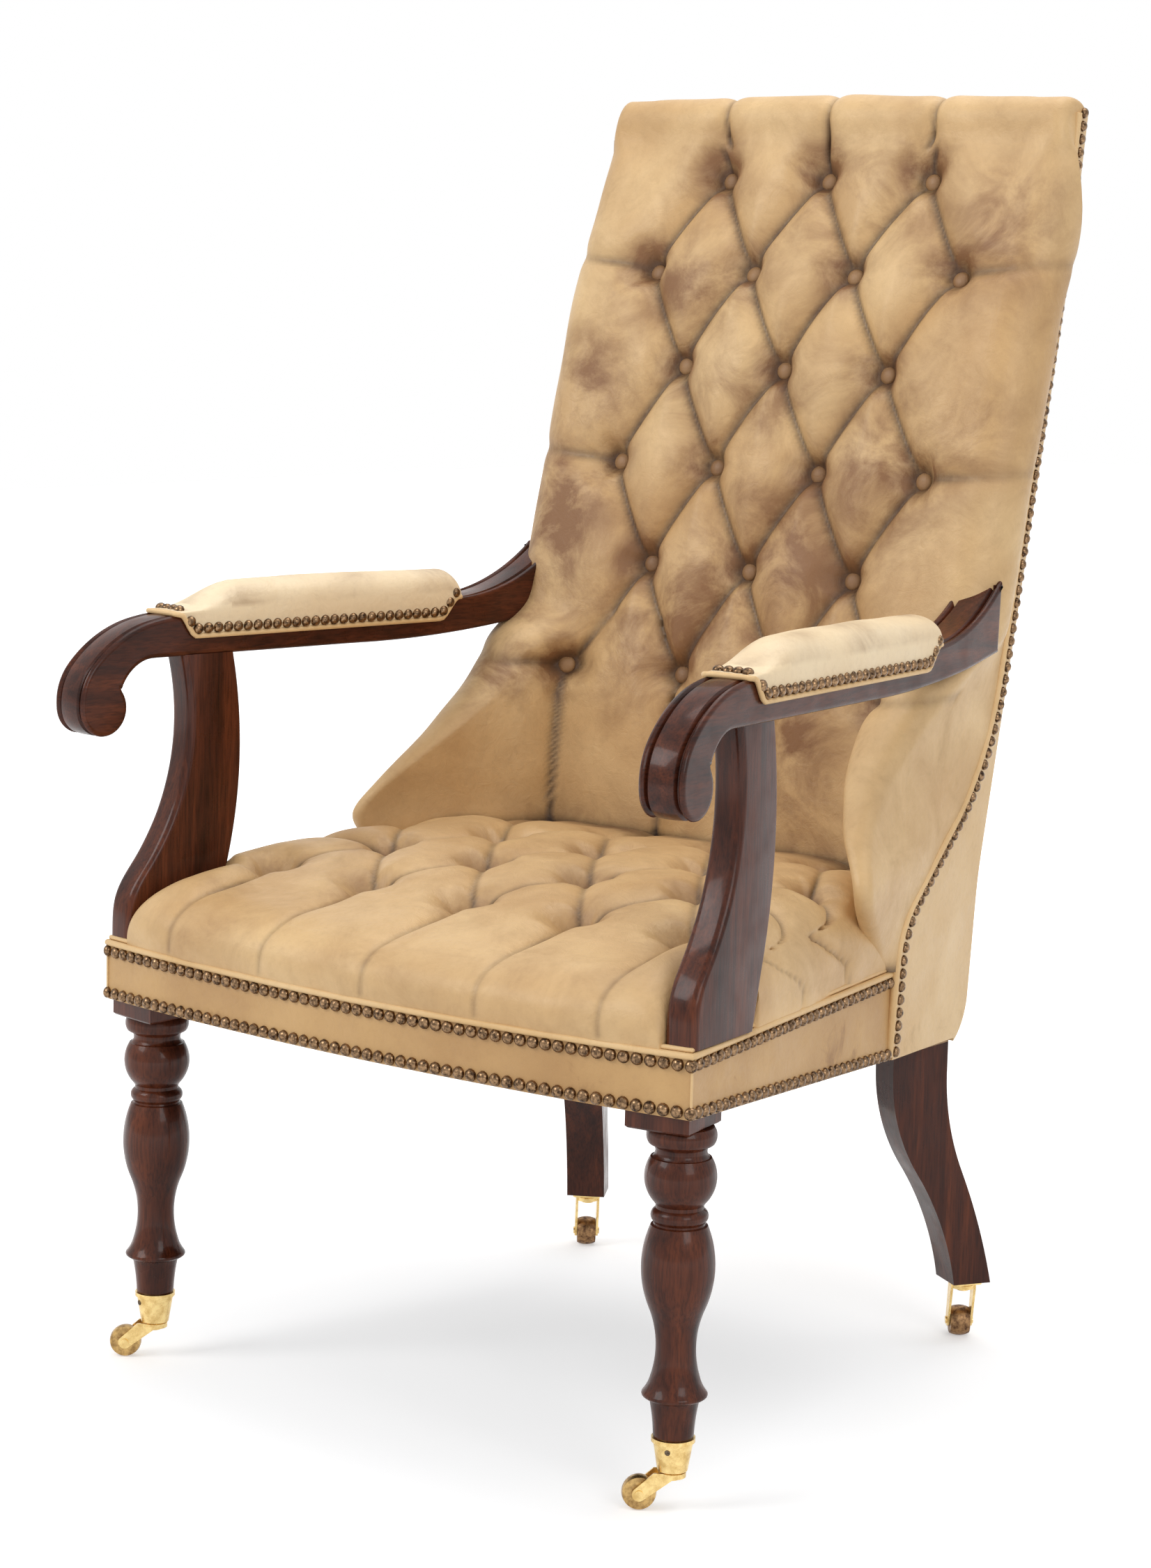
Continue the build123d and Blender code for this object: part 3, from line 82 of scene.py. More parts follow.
def build_mesh(name, points, faces, finish, sharp):
    """Mesh object from points in millimetres, smooth but for edges sharper than an angle."""
    mesh = bpy.data.meshes.new(name)
    mesh.from_pydata([tuple(mm * float(v) for v in p) for p in points], [], faces)
    mesh.materials.append(finish)
    mesh.polygons.foreach_set("use_smooth", [True] * len(mesh.polygons))
    mesh.set_sharp_from_angle(angle=radians(sharp))
    mesh.validate()
    shell = bmesh.new()
    shell.from_mesh(mesh)
    bmesh.ops.recalc_face_normals(shell, faces=shell.faces)
    shell.to_mesh(mesh)
    shell.free()
    return new_object(name, mesh)


def rings_to_faces(rings, around, closed_ends=True, first=0):
    """Faces that join rings of points, with a face over each end if they are closed."""
    faces = []
    for i in range(rings - 1):
        for j in range(around):
            a, b = first + i * around + j, first + i * around + (j + 1) % around
            faces.append((a, b, b + around, a + around))
    if closed_ends:
        last = first + (rings - 1) * around
        faces.append(tuple(first + j for j in reversed(range(around))))
        faces.append(tuple(last + j for j in range(around)))
    return faces


def feed(tree, node, inputs):
    """Give each input of a node a plain value, a socket, or a node for its first output."""
    for key, value in inputs.items():
        if isinstance(value, bpy.types.Node):
            value = value.outputs[0]
        if isinstance(value, bpy.types.NodeSocket):
            tree.links.new(value, node.inputs[key])
        else:
            node.inputs[key].default_value = value


def add(tree, kind, inputs=None, **settings):
    """New node with its settings and its inputs."""
    node = tree.nodes.new(kind)
    for key, value in settings.items():
        setattr(node, key, value)
    feed(tree, node, inputs or {})
    return node


def new_finish(name):
    """New finish, with its node tree, its shader and the place on the object that it reads."""
    finish = bpy.data.materials.new(name)
    finish.use_nodes = True
    tree = finish.node_tree
    where = add(tree, "ShaderNodeTexCoord").outputs["Object"]
    return finish, tree, tree.nodes["Principled BSDF"], where


def cloud(tree, where, scale, detail, roughness=0.5, distortion=0.0):
    """Soft noise of a given size."""
    return add(tree, "ShaderNodeTexNoise", {
        "Vector": where, "Scale": scale, "Detail": detail,
        "Roughness": roughness, "Distortion": distortion,
    })


def stretched(tree, where, scale):
    """The same places stretched along the grain."""
    return add(tree, "ShaderNodeMapping", {"Vector": where, "Scale": scale})


def ramp(tree, value, *stops):
    """Colour for a value, from stops of a value and a colour."""
    node = add(tree, "ShaderNodeValToRGB", {"Fac": value})
    elements = node.color_ramp.elements
    elements[0].position, elements[0].color = stops[0]
    elements[1].position, elements[1].color = stops[-1]
    for place, colour in stops[1:-1]:
        elements.new(place).color = colour
    return node


def spread(tree, value, low, high, to_low=0.0, to_high=1.0):
    """Stretch one range of values to another."""
    return add(tree, "ShaderNodeMapRange", {
        "Value": value, "From Min": low, "From Max": high, "To Min": to_low, "To Max": to_high})


def blend(tree, factor, first, second, kind="MIX"):
    """Mix two colours."""
    inputs = {"Factor": factor, "A": first, "B": second}
    node = add(tree, "ShaderNodeMix", inputs, data_type="RGBA", blend_type=kind)
    return node.outputs["Result"]


def bump(tree, height, strength, distance):
    """Fine relief too small for the mesh."""
    inputs = {"Height": height, "Strength": strength, "Distance": distance}
    return add(tree, "ShaderNodeBump", inputs)


def mahogany(name, grain):
    """Polished red mahogany. The figure changes slowly along the grain and fast across it."""
    finish, tree, shader, where = new_finish(name)
    figure = cloud(tree, stretched(tree, where, grain), 1, 7, 0.62, 0.9)
    dark, red = (0.024, 0.0056, 0.0026, 1), (0.068, 0.0158, 0.0062, 1)
    light = (0.145, 0.036, 0.0125, 1)
    tone = ramp(tree, figure, (0.3, dark), (0.5, red), (0.74, light))
    pores = cloud(tree, stretched(tree, where, [12 * g for g in grain]), 1, 3)
    pore_tone = ramp(tree, pores, (0.36, (0.45, 0.42, 0.40, 1)), (0.55, (1, 1, 1, 1)))
    wear = cloud(tree, where, 38, 4)
    feed(tree, shader, {
        "Base Color": blend(tree, 0.7, tone, pore_tone, "MULTIPLY"),
        "Roughness": spread(tree, wear, 0.35, 0.7, 0.24, 0.46),
        "Normal": bump(tree, pores, 0.25, 0.0003),
        "Specular IOR Level": 0.14,
        "Coat Weight": 0.22,
        "Coat Roughness": 0.1,
    })
    return finish


upright_mahogany = mahogany("mahogany_upright_grain", (46, 46, 3.2))

leg_profile = [(0, 312), (25.6, 312)]
leg_profile += three_point_arc((25.6, 312), (28, 305), (26.2, 298.6), 9)
leg_profile += [(25.2, 297.8), (23.4, 297.4)]
leg_profile += three_point_arc((23.4, 297.4), (20.5, 291.5), (22.6, 287.6), 8)
leg_profile += [(24.2, 287.2)]
leg_profile += three_point_arc((24.4, 286.8), (28.7, 270), (20.6, 251), 18)
leg_profile += [(19.2, 249), (19.2, 246.2)]
leg_profile += three_point_arc((19.9, 245.6), (22.9, 240.8), (20.8, 235.6), 8)
leg_profile += [(20.2, 234.6), (20.6, 233.2), (22.6, 232.4)]
leg_profile += three_point_arc((22.6, 232.4), (28.6, 210), (22.8, 166), 22)
leg_profile += three_point_arc((22.8, 166), (16.3, 127), (19.6, 109.6), 18)
leg_profile += three_point_arc((19.8, 109), (22.2, 102.5), (25.6, 97.2), 7)
leg_profile += three_point_arc((25.6, 97.2), (26.3, 95.2), (25.2, 93.6), 5)
leg_profile += [(23.4, 92.4), (20.4, 91)]
leg_profile += three_point_arc((19.6, 89), (17.6, 77), (16.3, 61.2), 9)
leg_profile += [(15.9, 60.2), (0, 60.2)]
block_middle = np.mean(block_corners, axis=0)

for end, side in both_sides:
    points = []
    for radius, z in leg_profile:
        radius = max(radius, leg_pole_radius)
        for j in range(leg_around):
            angle = 2 * pi * j / leg_around
            x, y = leg_centre[0] * side + radius * cos(angle), leg_centre[1] + radius * sin(angle)
            points.append((x, y, z))
    faces = rings_to_faces(len(leg_profile), leg_around)
    faces += rings_to_faces(len(block_heights), len(block_corners), first=len(points))
    for z, inset in block_heights:
        for corner in block_corners:
            x, y = corner - inset * np.sign(corner - block_middle)
            points.append((side * x, y, z))
    leg = build_mesh("turned_leg" + end, points, faces, upright_mahogany, sharp=32)
    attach(leg, chair)
    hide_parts("front_leg" + end)

# Rear legs. Square sabre legs sawn from mahogany plank and set cornerwise under the seat,
# where glue and screws hold them to the rails.


def pairs(*names):
    """The right and the left node of each name."""
    return [name + end for name in names for end, _ in both_sides]


def coat(finish, names):
    """Give CAD nodes their finish. Their shapes stay as they are."""
    for name in names:
        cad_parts[name].data.materials[0] = finish


coat(upright_mahogany, pairs("rear_leg"))

# Seat and back frame. Beech rails, stiles and boards, sawn, bare and joined with glue and
# screws, all hidden under the covers but for what shows from below.
beech, tree, shader, where = new_finish("bare_beech")
figure = cloud(tree, stretched(tree, where, (8, 30, 60)), 1, 6)
tone = ramp(tree, figure, (0.3, (0.26, 0.15, 0.075, 1)), (0.7, (0.47, 0.31, 0.17, 1)))
feed(tree, shader, {"Base Color": tone, "Roughness": 0.8})
coat(beech, ("front_rail", "rear_rail", "corner_braces", "back_top_rail", "back_lower_rail"))
coat(beech, pairs("side_rail", "back_stile", "wing_board"))

# Webbing and bottom cloth. Jute straps woven over and under each other and tacked across
# the frame, and a black linen cloth tacked under them.
for name, scale, dark, light in (
    ("seat_webbing", 900, (0.17, 0.12, 0.065, 1), (0.42, 0.34, 0.2, 1)),
    ("dust_cover", 1400, (0.006, 0.006, 0.006, 1), (0.03, 0.027, 0.025, 1)),
):
    cloth, tree, shader, where = new_finish("woven_" + name)
    weave = add(tree, "ShaderNodeTexChecker", {"Vector": where, "Scale": scale}).outputs["Fac"]
    inputs = {0: weave, 1: 0.45, 2: cloud(tree, where, 60, 5)}
    level = add(tree, "ShaderNodeMath", inputs, operation="MULTIPLY_ADD")
    tone = ramp(tree, level, (0.35, dark), (1, light))
    feed(tree, shader, {"Base Color": tone, "Roughness": 0.9})
    coat(cloth, [name])

# Castors. Cast brass cups, horns and plates with riveted steel pins, and bronze rollers
# darkened by the floor. They turn on their own stems and axles.


def worn_metal(name, bright, dull, roughness, scale):
    """Cast metal whose polish is broken by tarnish in patches."""
    finish, tree, shader, where = new_finish(name)
    patches = cloud(tree, where, scale, 6, 0.65)
    feed(tree, shader, {
        "Metallic": 1,
        "Base Color": ramp(tree, patches, (0.36, dull), (0.6, bright)),
        "Roughness": spread(tree, patches, 0.3, 0.7, roughness + 0.2, roughness),
        "Normal": bump(tree, patches, 0.2, 0.0002),
    })
    return finish


castor_brass = worn_metal("castor_brass", (0.93, 0.70, 0.31, 1), (0.66, 0.44, 0.16, 1), 0.16, 110)
wheel_brass = worn_metal("wheel_brass", (0.62, 0.41, 0.16, 1), (0.26, 0.15, 0.06, 1), 0.22, 150)
roller_bronze = worn_metal("roller_bronze", (0.36, 0.21, 0.10, 1), (0.10, 0.05, 0.03, 1), 0.35, 220)
coat(castor_brass, pairs(
    "front_castor_cup", "front_castor_stem", "front_castor_horn", "front_castor_axle",
    "rear_castor_plate", "rear_castor_fork", "rear_castor_axle",
))
coat(wheel_brass, pairs("front_castor_wheel"))
coat(roller_bronze, pairs("rear_castor_roller"))

# Arms and posts. The tops are sawn from plank, moulded along the upper face with a broad
# flat between two quirked beads, and rolled over into scrolls. The posts are tenoned
# between them and the front corners of the seat.
arm_yaw = radians(7.14)
arm_origin = (336, -323)
arm_width = 40
arm_under_z, arm_top_z = 628, 664
scroll_z, scroll_radius = 587, 24.5


def along(y):
    """Distance along the arm from the middle of the scroll, at a depth y."""
    return (y - arm_origin[1]) / cos(arm_yaw)


def arm_point(side, u, w, z):
    """Place of a point u along the arm, w out from its middle line and z up."""
    w -= arm_width / 2
    x = arm_origin[0] - u * sin(arm_yaw) + w * cos(arm_yaw)
    return (side * x, arm_origin[1] + u * cos(arm_yaw) + w * sin(arm_yaw), z)


def run_along(line):
    """Distance from the start of a line to each of its points."""
    return np.r_[0, np.cumsum(np.linalg.norm(np.diff(line, axis=0), axis=1))]


def even_steps(path, step):
    """The same line with its points a given step apart."""
    path = np.array(path, float)
    path = path[np.r_[True, np.hypot(*np.diff(path, axis=0).T) > 1e-6]]
    run = run_along(path)
    count = max(3, int(round(run[-1] / step)) + 1)
    at = np.linspace(0, run[-1], count)
    return np.c_[np.interp(at, run, path[:, 0]), np.interp(at, run, path[:, 1])]


def averaged(rows):
    """Rows averaged with their neighbours, but for the first and the last."""
    rows = np.array(rows, float)
    rows[1:-1] = 0.25 * rows[:-2] + 0.5 * rows[1:-1] + 0.25 * rows[2:]
    return rows


def soften(path, times):
    """Round a line's corners by averaging its points a number of times."""
    for _ in range(times):
        path = averaged(path)
    return path


cusp = (scroll_radius * cos(pi / 4), scroll_z + scroll_radius * sin(pi / 4))
scroll_nose = (-scroll_radius, scroll_z)
hollow_end = (along(-276), arm_under_z)
hollow_middle = ((hollow_end[0] + cusp[0]) / 2 + 3, 623)
under = [(along(205), 648)]
under += three_point_arc((along(150), 638.5), (along(60), 630.2), (along(-40), arm_under_z), 20)
under += [(along(-200), arm_under_z)]
under += three_point_arc(hollow_end, hollow_middle, (cusp[0] + 1.5, cusp[1] - 1), 16)
scroll = three_point_arc(cusp, (scroll_radius, scroll_z), (8.4, 564), 14)
scroll += three_point_arc((8.4, 564), (-17.3, 569.7), scroll_nose, 18)
scroll += three_point_arc(scroll_nose, (-22.2, 607), (-12, 624.5), 12)
scroll += three_point_arc((-12, 624.5), (14, 646), (52, 661), 16)
top = [(70, arm_top_z), (along(84), arm_top_z)]
top += three_point_arc((along(90), 664.3), (along(150), 677), (along(208), 711), 20)
low = even_steps(soften(even_steps(under, 4), 3), 4)
high = even_steps(soften(even_steps(scroll + top, 3), 3), 3)
end_grain = np.linspace(high[-1], low[0], 16)[1:-1]
arm_outline = np.vstack([low, high, end_grain])
ahead = np.roll(arm_outline, -1, axis=0) - arm_outline
ahead /= np.linalg.norm(ahead, axis=1)[:, None]
tangent = ahead + np.roll(ahead, 1, axis=0)
tangent /= np.linalg.norm(tangent, axis=1)[:, None]
following = np.roll(arm_outline, -1, axis=0)
area = np.sum(arm_outline[:, 0] * following[:, 1] - following[:, 0] * arm_outline[:, 1])
outward = np.c_[tangent[:, 1], -tangent[:, 0]] * np.sign(area)
# The moulding runs out of the plain edge over the first ninth of the scroll and dies away
# again down the end grain. Each row is a place across the arm with both edges' depths.
moulded = np.clip(np.arange(len(high)) * 9 / len(high), 0, 1)
moulded = np.r_[np.zeros(len(low)), moulded, np.linspace(1, 0, len(end_grain))]
half_edge = (
    (20, 4.4, 4.6), (20, 3.2, 3.4), (19.5, 1.7, 1.7), (18.4, 0.5, 0.6), (17, 0.1, 0.2),
    (15.6, 0, 1.0), (14.6, 0, 3.0), (13.8, 0, 4.3), (12.8, 0, 4.1), (11.8, 0, 2.0),
    (10.8, 0, 0.6), (6, 0, 0.1), (0, 0, 0),
)
edge = [(-w, plain, quirked) for w, plain, quirked in half_edge] + list(half_edge[-2::-1])
level_mahogany = mahogany("mahogany_level_grain", (46, 3.6, 46))
for end, side in both_sides:
    points = []
    for w, plain, quirked in edge:
        depth = plain * (1 - moulded) + quirked * moulded
        points += [arm_point(side, u, w, z) for u, z in arm_outline - outward * depth[:, None]]
    faces = rings_to_faces(len(edge), len(arm_outline))
    arm = build_mesh("arm_top" + end, points, faces, level_mahogany, sharp=38)
    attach(arm, chair)
    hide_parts("arm" + end)

# The posts swell towards the seat. Their front corners are rounded more than the rear ones.
post_width, post_inset = 28, 12
post_foot_z, post_top_z = 380, 629
post_round_front, post_round_rear = 6.5, 3.5
front_edge = three_point_arc((along(-239), post_top_z), (along(-232), 553), (along(-254), 478), 24)
front_edge += [(along(-270), 452), (along(-289), 430), (along(-297), 413)]
front_edge += [(along(-297), post_foot_z)]
rear_edge = three_point_arc((along(-183), post_top_z), (along(-174), 553), (along(-193), 420), 36)
rear_edge += [(along(-203), post_foot_z)]
front_edge = even_steps(soften(even_steps(front_edge, 4), 14), 4)
rear_edge = even_steps(soften(even_steps(rear_edge, 4), 8), 4)
heights = np.linspace(post_foot_z, post_top_z, 84)
fronts, rears = (np.interp(heights, *line[::-1, ::-1].T) for line in (front_edge, rear_edge))
w_out = arm_width / 2 - post_inset
w_in = w_out - post_width
corner_steps = np.linspace(0, 90, 7)
for end, side in both_sides:
    points = []
    for z, u_front, u_rear in zip(heights, fronts, rears):
        for u, w, turn, radius, ahead, aside in (
            (u_rear, w_out, 0, post_round_rear, -1, -1),
            (u_front, w_out, 90, post_round_front, 1, -1),
            (u_front, w_in, 180, post_round_front, 1, 1),
            (u_rear, w_in, 270, post_round_rear, -1, 1),
        ):
            for bend in corner_steps:
                angle = radians(turn + bend)
                u_round = u + radius * ahead + radius * cos(angle)
                w_round = w + radius * aside + radius * sin(angle)
                points.append(arm_point(side, u_round, w_round, z))
    faces = rings_to_faces(len(heights), 4 * len(corner_steps))
    post = build_mesh("arm_post_moulded" + end, points, faces, upright_mahogany, sharp=38)
    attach(post, chair)
    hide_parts("arm_post" + end)

# Seat cushion. Horsehair over springs under one piece of tan hide, drawn down by four rows
# of covered buttons, with its fullness folded into diamonds and into pleats at the front.
seat_base = 379.2
frame_front_y, frame_half_width, side_taper = -300, 320, 0.17916
post_notch_y, post_notch_half, post_notch_taper = -297, 290.5, 0.1253
cushion_gap, wing_notch, front_round = 1.5, 17, 52
front_bow_y, front_bow_radius = -328, 1842.6
crown_y, crown_z = (-330, -298, -240, -150, 30, 136, 210), (437, 440, 450, 460, 466, 452, 448)
dip_y, dip_depth = (-330, -298, -240, -190, -140, -90), (12, 14, 16, 12, 6, 0)
button_gap = 114.4
seat_row_counts, seat_row_y = (5, 4, 5, 4), (-190, -100, -14, 85)
seat_depths = (28, 27, 23, 16)
seat_reach, seat_seed = 46, 7
seat_uneven, seat_uneven_size = 1.6, 46
# The first colour is the brown of real stains; the second is painted shade for the folds and
# hollows.
brown_stain, fold_shade_colour = (0.245, 0.120, 0.050, 1), (0.018, 0.0075, 0.004, 1)


def leather(name, light, deep, stain_bias):
    """Worn hide: blotched tan, brown where it is handled, with painted shade dark down in its
    folds.
    """
    finish, tree, shader, where = new_finish(name)

    def joined(first, second, kind="MULTIPLY"):
        """Two values joined by one operation and kept between nought and one."""
        return add(
            tree, "ShaderNodeMath", {0: first, 1: second}, operation=kind, use_clamp=True)

    marks = add(tree, "ShaderNodeAttribute", attribute_name="stain").outputs["Fac"]
    folds = add(tree, "ShaderNodeAttribute", attribute_name="crease").outputs["Fac"]
    broad = cloud(tree, where, 7, 5, 0.55, 0.4)
    blotch = cloud(tree, where, 17, 7, 0.66, 0.5)
    fleck = cloud(tree, where, 140, 5, 0.7)
    hide = blend(tree, spread(tree, broad, 0.32, 0.68), light, deep)
    hide = blend(tree, spread(tree, fleck, 0.50, 0.85, 0, 0.16), hide, brown_stain)
    patchy = joined(spread(tree, blotch, 0.38, 0.60), marks)
    soaked = joined(patchy, joined(marks, 0.45), "ADD")
    loose = joined(spread(tree, blotch, 0.60, 0.78), stain_bias)
    hide = blend(tree, joined(soaked, loose, "ADD"), hide, brown_stain)
    # Painted shade: the crease value darkens the hide nearly to black, a little broken up by the
    # flecks.
    painted_shade = joined(folds, spread(tree, fleck, 0.2, 0.6, 0.75, 1))
    grain = add(tree, "ShaderNodeTexVoronoi", {"Vector": where, "Scale": 850})
    fine = bump(tree, grain, 0.14, 0.0003)
    wrinkle = bump(tree, cloud(tree, where, 70, 6, 0.6, 1.6), 0.35, 0.0022)
    feed(tree, wrinkle, {"Normal": fine})
    feed(tree, shader, {
        "Base Color": blend(tree, painted_shade, hide, fold_shade_colour),
        "Roughness": spread(tree, blotch, 0.3, 0.7, 0.38, 0.56),
        "Normal": wrinkle,
        "Specular IOR Level": 0.42,
    })
    return finish


tan_hide = leather("tan_hide", (0.770, 0.535, 0.268, 1), (0.610, 0.380, 0.168, 1), 0.25)


def smooth_step(value, low, high):
    """Rise from nought at low to one at high."""
    t = np.clip((value - low) / (high - low), 0, 1)
    return t * t * (3 - 2 * t)


def side_x(y):
    """Half width of the seat frame at a depth y."""
    return frame_half_width - side_taper * (y - frame_front_y)


def seat_half_width(y):
    """Half width of the seat cushion, notched at the front round the posts and at the wings."""
    beside = side_x(y) - cushion_gap
    notched = post_notch_half - post_notch_taper * (y - post_notch_y)
    wide = notched + (beside - notched) * smooth_step(y, -203, -188)
    return wide - wing_notch * smooth_step(y, 66, 96)


def seat_front_y(x):
    """Depth of the bowed front of the seat."""
    back = front_bow_radius - np.sqrt(front_bow_radius ** 2 - x ** 2)
    return front_bow_y - cushion_gap + back


def seat_top(x, y):
    """Height of the seat cushion before it is buttoned. Its front dips between the sides."""
    dip = np.interp(y, dip_y, dip_depth) * (1 - smooth_step(np.abs(x), 215, 275))
    crown = np.interp(y, crown_y, crown_z) - dip
    edge = np.clip(np.abs(x) / seat_half_width(y), 0, 1)
    sides = (1 - edge ** 12) ** (1 / 2.7)
    front = np.clip((y - seat_front_y(x)) / front_round, 0, 1)
    rise = (1 - (1 - front) ** 2.3) ** (1 / 2.3)
    return seat_base + (crown - seat_base) * sides * rise


def segment_distance(px, py, a, b):
    """Distance of points from the line a to b, and how far along it each one is."""
    dx, dy = b[0] - a[0], b[1] - a[1]
    t = np.clip(((px - a[0]) * dx + (py - a[1]) * dy) / (dx * dx + dy * dy), 0, 1)
    return np.hypot(px - a[0] - t * dx, py - a[1] - t * dy), t


def tufting(px, py, buttons, folds, reach, seed):
    """Depth of buttoned padding below its fullest surface, and how creased each point is.

    buttons lists (x, y, depth), and folds lists (a, b, depth at a, halfway and at b, reach
    at a and at b). The deepest hollow wins where several meet, with a soft change between.
    """
    power = 7
    slit_share, slit_width, crease_width = 0.34, 5, 2.8
    puckers, pucker_width, cap_edge = 9, 3.3, 9
    total = np.zeros_like(px)
    crease = np.zeros_like(px)
    for a, b, start, middle, end, wide_a, wide_b in folds:
        d, t = segment_distance(px, py, a, b)
        sag = middle - (start + end) / 2
        floor = start + (end - start) * t + sag * np.sin(pi * t) ** 0.65
        near = np.clip(1 - d / (wide_a + (wide_b - wide_a) * t ** 0.7), 0, 1)
        depth = floor * (slit_share * np.exp(-d / slit_width) + (1 - slit_share) * near ** 2.2)
        total += np.maximum(depth, 0) ** power
        # The crease value is later painted as shade: a dark line along each fold and a ring round
        # each button's edge.
        line = np.exp(-(d / crease_width) ** 2) * np.clip(floor / 14, 0.35, 1)
        crease = np.maximum(crease, line)
    for x, y, depth in buttons:
        d = np.hypot(px - x, py - y)
        near = np.clip(1 - (d - 8) / (reach * 0.78), 0, 1)
        total += (depth * near ** 2.1) ** power
        ring = 0.8 * np.exp(-(np.clip(d - cap_edge, 0, None) / 3.6) ** 2)
        crease = np.maximum(crease, ring)
    depth = total ** (1 / power)
    draw = np.random.default_rng(seed)
    for x, y, deep in buttons:
        for k in range(puckers):
            angle = 2 * pi * (k + draw.uniform(-0.35, 0.35)) / puckers
            length = draw.uniform(16, 40)
            a = (x + cap_edge * cos(angle), y + cap_edge * sin(angle))
            bend = angle + draw.uniform(-0.25, 0.25)
            b = (a[0] + length * cos(bend), a[1] + length * sin(bend))
            d, t = segment_distance(px, py, a, b)
            pull = draw.uniform(1.0, 2.8) * deep / 30
            depth += pull * np.exp(-(d / pucker_width) ** 2) * (1 - t) ** 0.8
    return depth, crease


def button_rows(counts, runs):
    """Button places row by row, each row set over the gaps of the one before."""
    rows = []
    for count, run in zip(counts, runs):
        rows.append([((i - (count - 1) / 2) * button_gap, float(run)) for i in range(count)])
    return rows


def with_depths(rows, depths):
    """One list of the buttons in all the rows, each with its depth."""
    return [(x, run, deep) for row, deep in zip(rows, depths) for x, run in row]


def diamond_folds(rows, depths, middle, reach):
    """Folds between the buttons of neighbouring rows."""
    folds = []
    for i in range(len(rows) - 1):
        for a in rows[i]:
            for b in rows[i + 1]:
                if abs(a[0] - b[0]) < button_gap * 0.9:
                    folds.append((a, b, depths[i], middle, depths[i + 1], reach, reach))
    return folds


def surface_normals(grid):
    """Unit normal at each point of a grid of points, by the right hand from rows to columns."""
    normal = np.cross(np.gradient(grid, axis=1), np.gradient(grid, axis=0))
    return normal / np.maximum(np.linalg.norm(normal, axis=2), 1e-9)[..., None]


def stuffed(grid, sunk, amount, size):
    """A grid sunk along its normals where it is tufted, and a little uneven all over."""
    normal = surface_normals(grid)
    flat = grid.reshape(-1, 3) / size
    uneven = np.array([noise.noise(p) for p in flat.tolist()]).reshape(sunk.shape)
    return grid + normal * (uneven * amount)[..., None] - normal * sunk[..., None]


def button_stain(across, up, buttons, strength, reach):
    """Brown round each button, strongest at the button itself."""
    stain = np.zeros_like(across)
    for x, run, _ in buttons:
        away = np.hypot(across - x, up - run)
        stain = np.maximum(stain, strength * np.exp(-(away / reach) ** 2))
    return stain


def grid_faces(rows, columns):
    """Faces over a grid of points."""
    faces = []
    for i in range(rows - 1):
        for a in range(i * columns, (i + 1) * columns - 1):
            faces.append((a, a + 1, a + columns + 1, a + columns))
    return faces


def paint(piece, name, values):
    """Store one value for each point of a mesh, for its finish to read."""
    layer = piece.data.attributes.new(name, "FLOAT", "POINT")
    layer.data.foreach_set("value", np.asarray(values, np.float32))


seat_columns, seat_rows, front_rows = 285, 275, 60
front_length, seat_length = 60, 527
even = np.linspace(-1, 1, seat_columns)
lateral = 0.75 * np.sin(even * pi / 2) + 0.25 * even
front_part = front_length * (1 - np.cos(np.linspace(0, 1, front_rows) * pi / 2))
rear_part = np.linspace(front_length, seat_length, seat_rows - front_rows + 1)[1:]
ahead = np.r_[front_part, rear_part]
plan_y = frame_front_y + ahead
grid_x = seat_half_width(plan_y)[:, None] * lateral[None, :]
bow = (seat_front_y(grid_x) - frame_front_y) * (1 - smooth_step(ahead, 0, 260))[:, None]
grid_y = plan_y[:, None] + bow
grid_z = seat_top(grid_x, grid_y)
grid_z[0, :] = seat_base
bulge = np.sin(pi * np.clip((grid_z - seat_base) / 62, 0, 1))
side_push = 5.0 * bulge * smooth_step(np.abs(lateral), 0.72, 0.97)[None, :]
front_push = 4.5 * bulge * (1 - smooth_step(ahead, 0, 46))[:, None]
seat_grid = np.dstack([grid_x + np.sign(grid_x) * side_push, grid_y - front_push, grid_z])
seat_up = np.zeros_like(grid_y)
seat_up[1:] = np.cumsum(np.linalg.norm(np.diff(seat_grid, axis=0), axis=2), axis=0)
centre = seat_columns // 2
steps = np.linalg.norm(np.diff(seat_grid, axis=1), axis=2)
seat_across = np.zeros_like(grid_x)
seat_across[:, centre + 1:] = np.cumsum(steps[:, centre:], axis=1)
seat_across[:, :centre] = -np.cumsum(steps[:, :centre][:, ::-1], axis=1)[:, ::-1]

row_run = np.interp(seat_row_y, seat_grid[:, centre, 1], seat_up[:, centre])
rows = button_rows(seat_row_counts, row_run)
seat_buttons = with_depths(rows, seat_depths)
seat_folds = diamond_folds(rows, seat_depths, 7, 40)
for x, run in rows[0]:
    seat_folds.append(((x, run), (x * 1.03 + 4, 4), seat_depths[0], 7, 4, 40, 15))
for x, run in rows[3]:
    seat_folds.append(((x, run), (x, run + 80), seat_depths[3], 9, 8, 38, 24))
for side in (1, -1):
    a, b = (side * 2 * button_gap, row_run[2]), (side * 330, row_run[2] + 6)
    seat_folds.append((a, b, seat_depths[2], 9, 5, 40, 14))
    a, b = (side * 1.5 * button_gap, row_run[1]), (side * 350, row_run[1] - 8)
    seat_folds.append((a, b, seat_depths[1], 7, 4, 38, 14))
depth, crease = tufting(
    seat_across, seat_up, seat_buttons, seat_folds, seat_reach, seat_seed)
fade = np.clip((grid_z - seat_base) / 16, 0, 1)
swell = 4.5 * (1 - smooth_step(np.abs(seat_across), 250, 330)) * smooth_step(seat_up, 60, 150)
seat_grid = stuffed(seat_grid, (depth - swell) * fade, seat_uneven, seat_uneven_size)
seat_grid[..., 2] = np.maximum(seat_grid[..., 2], seat_base)

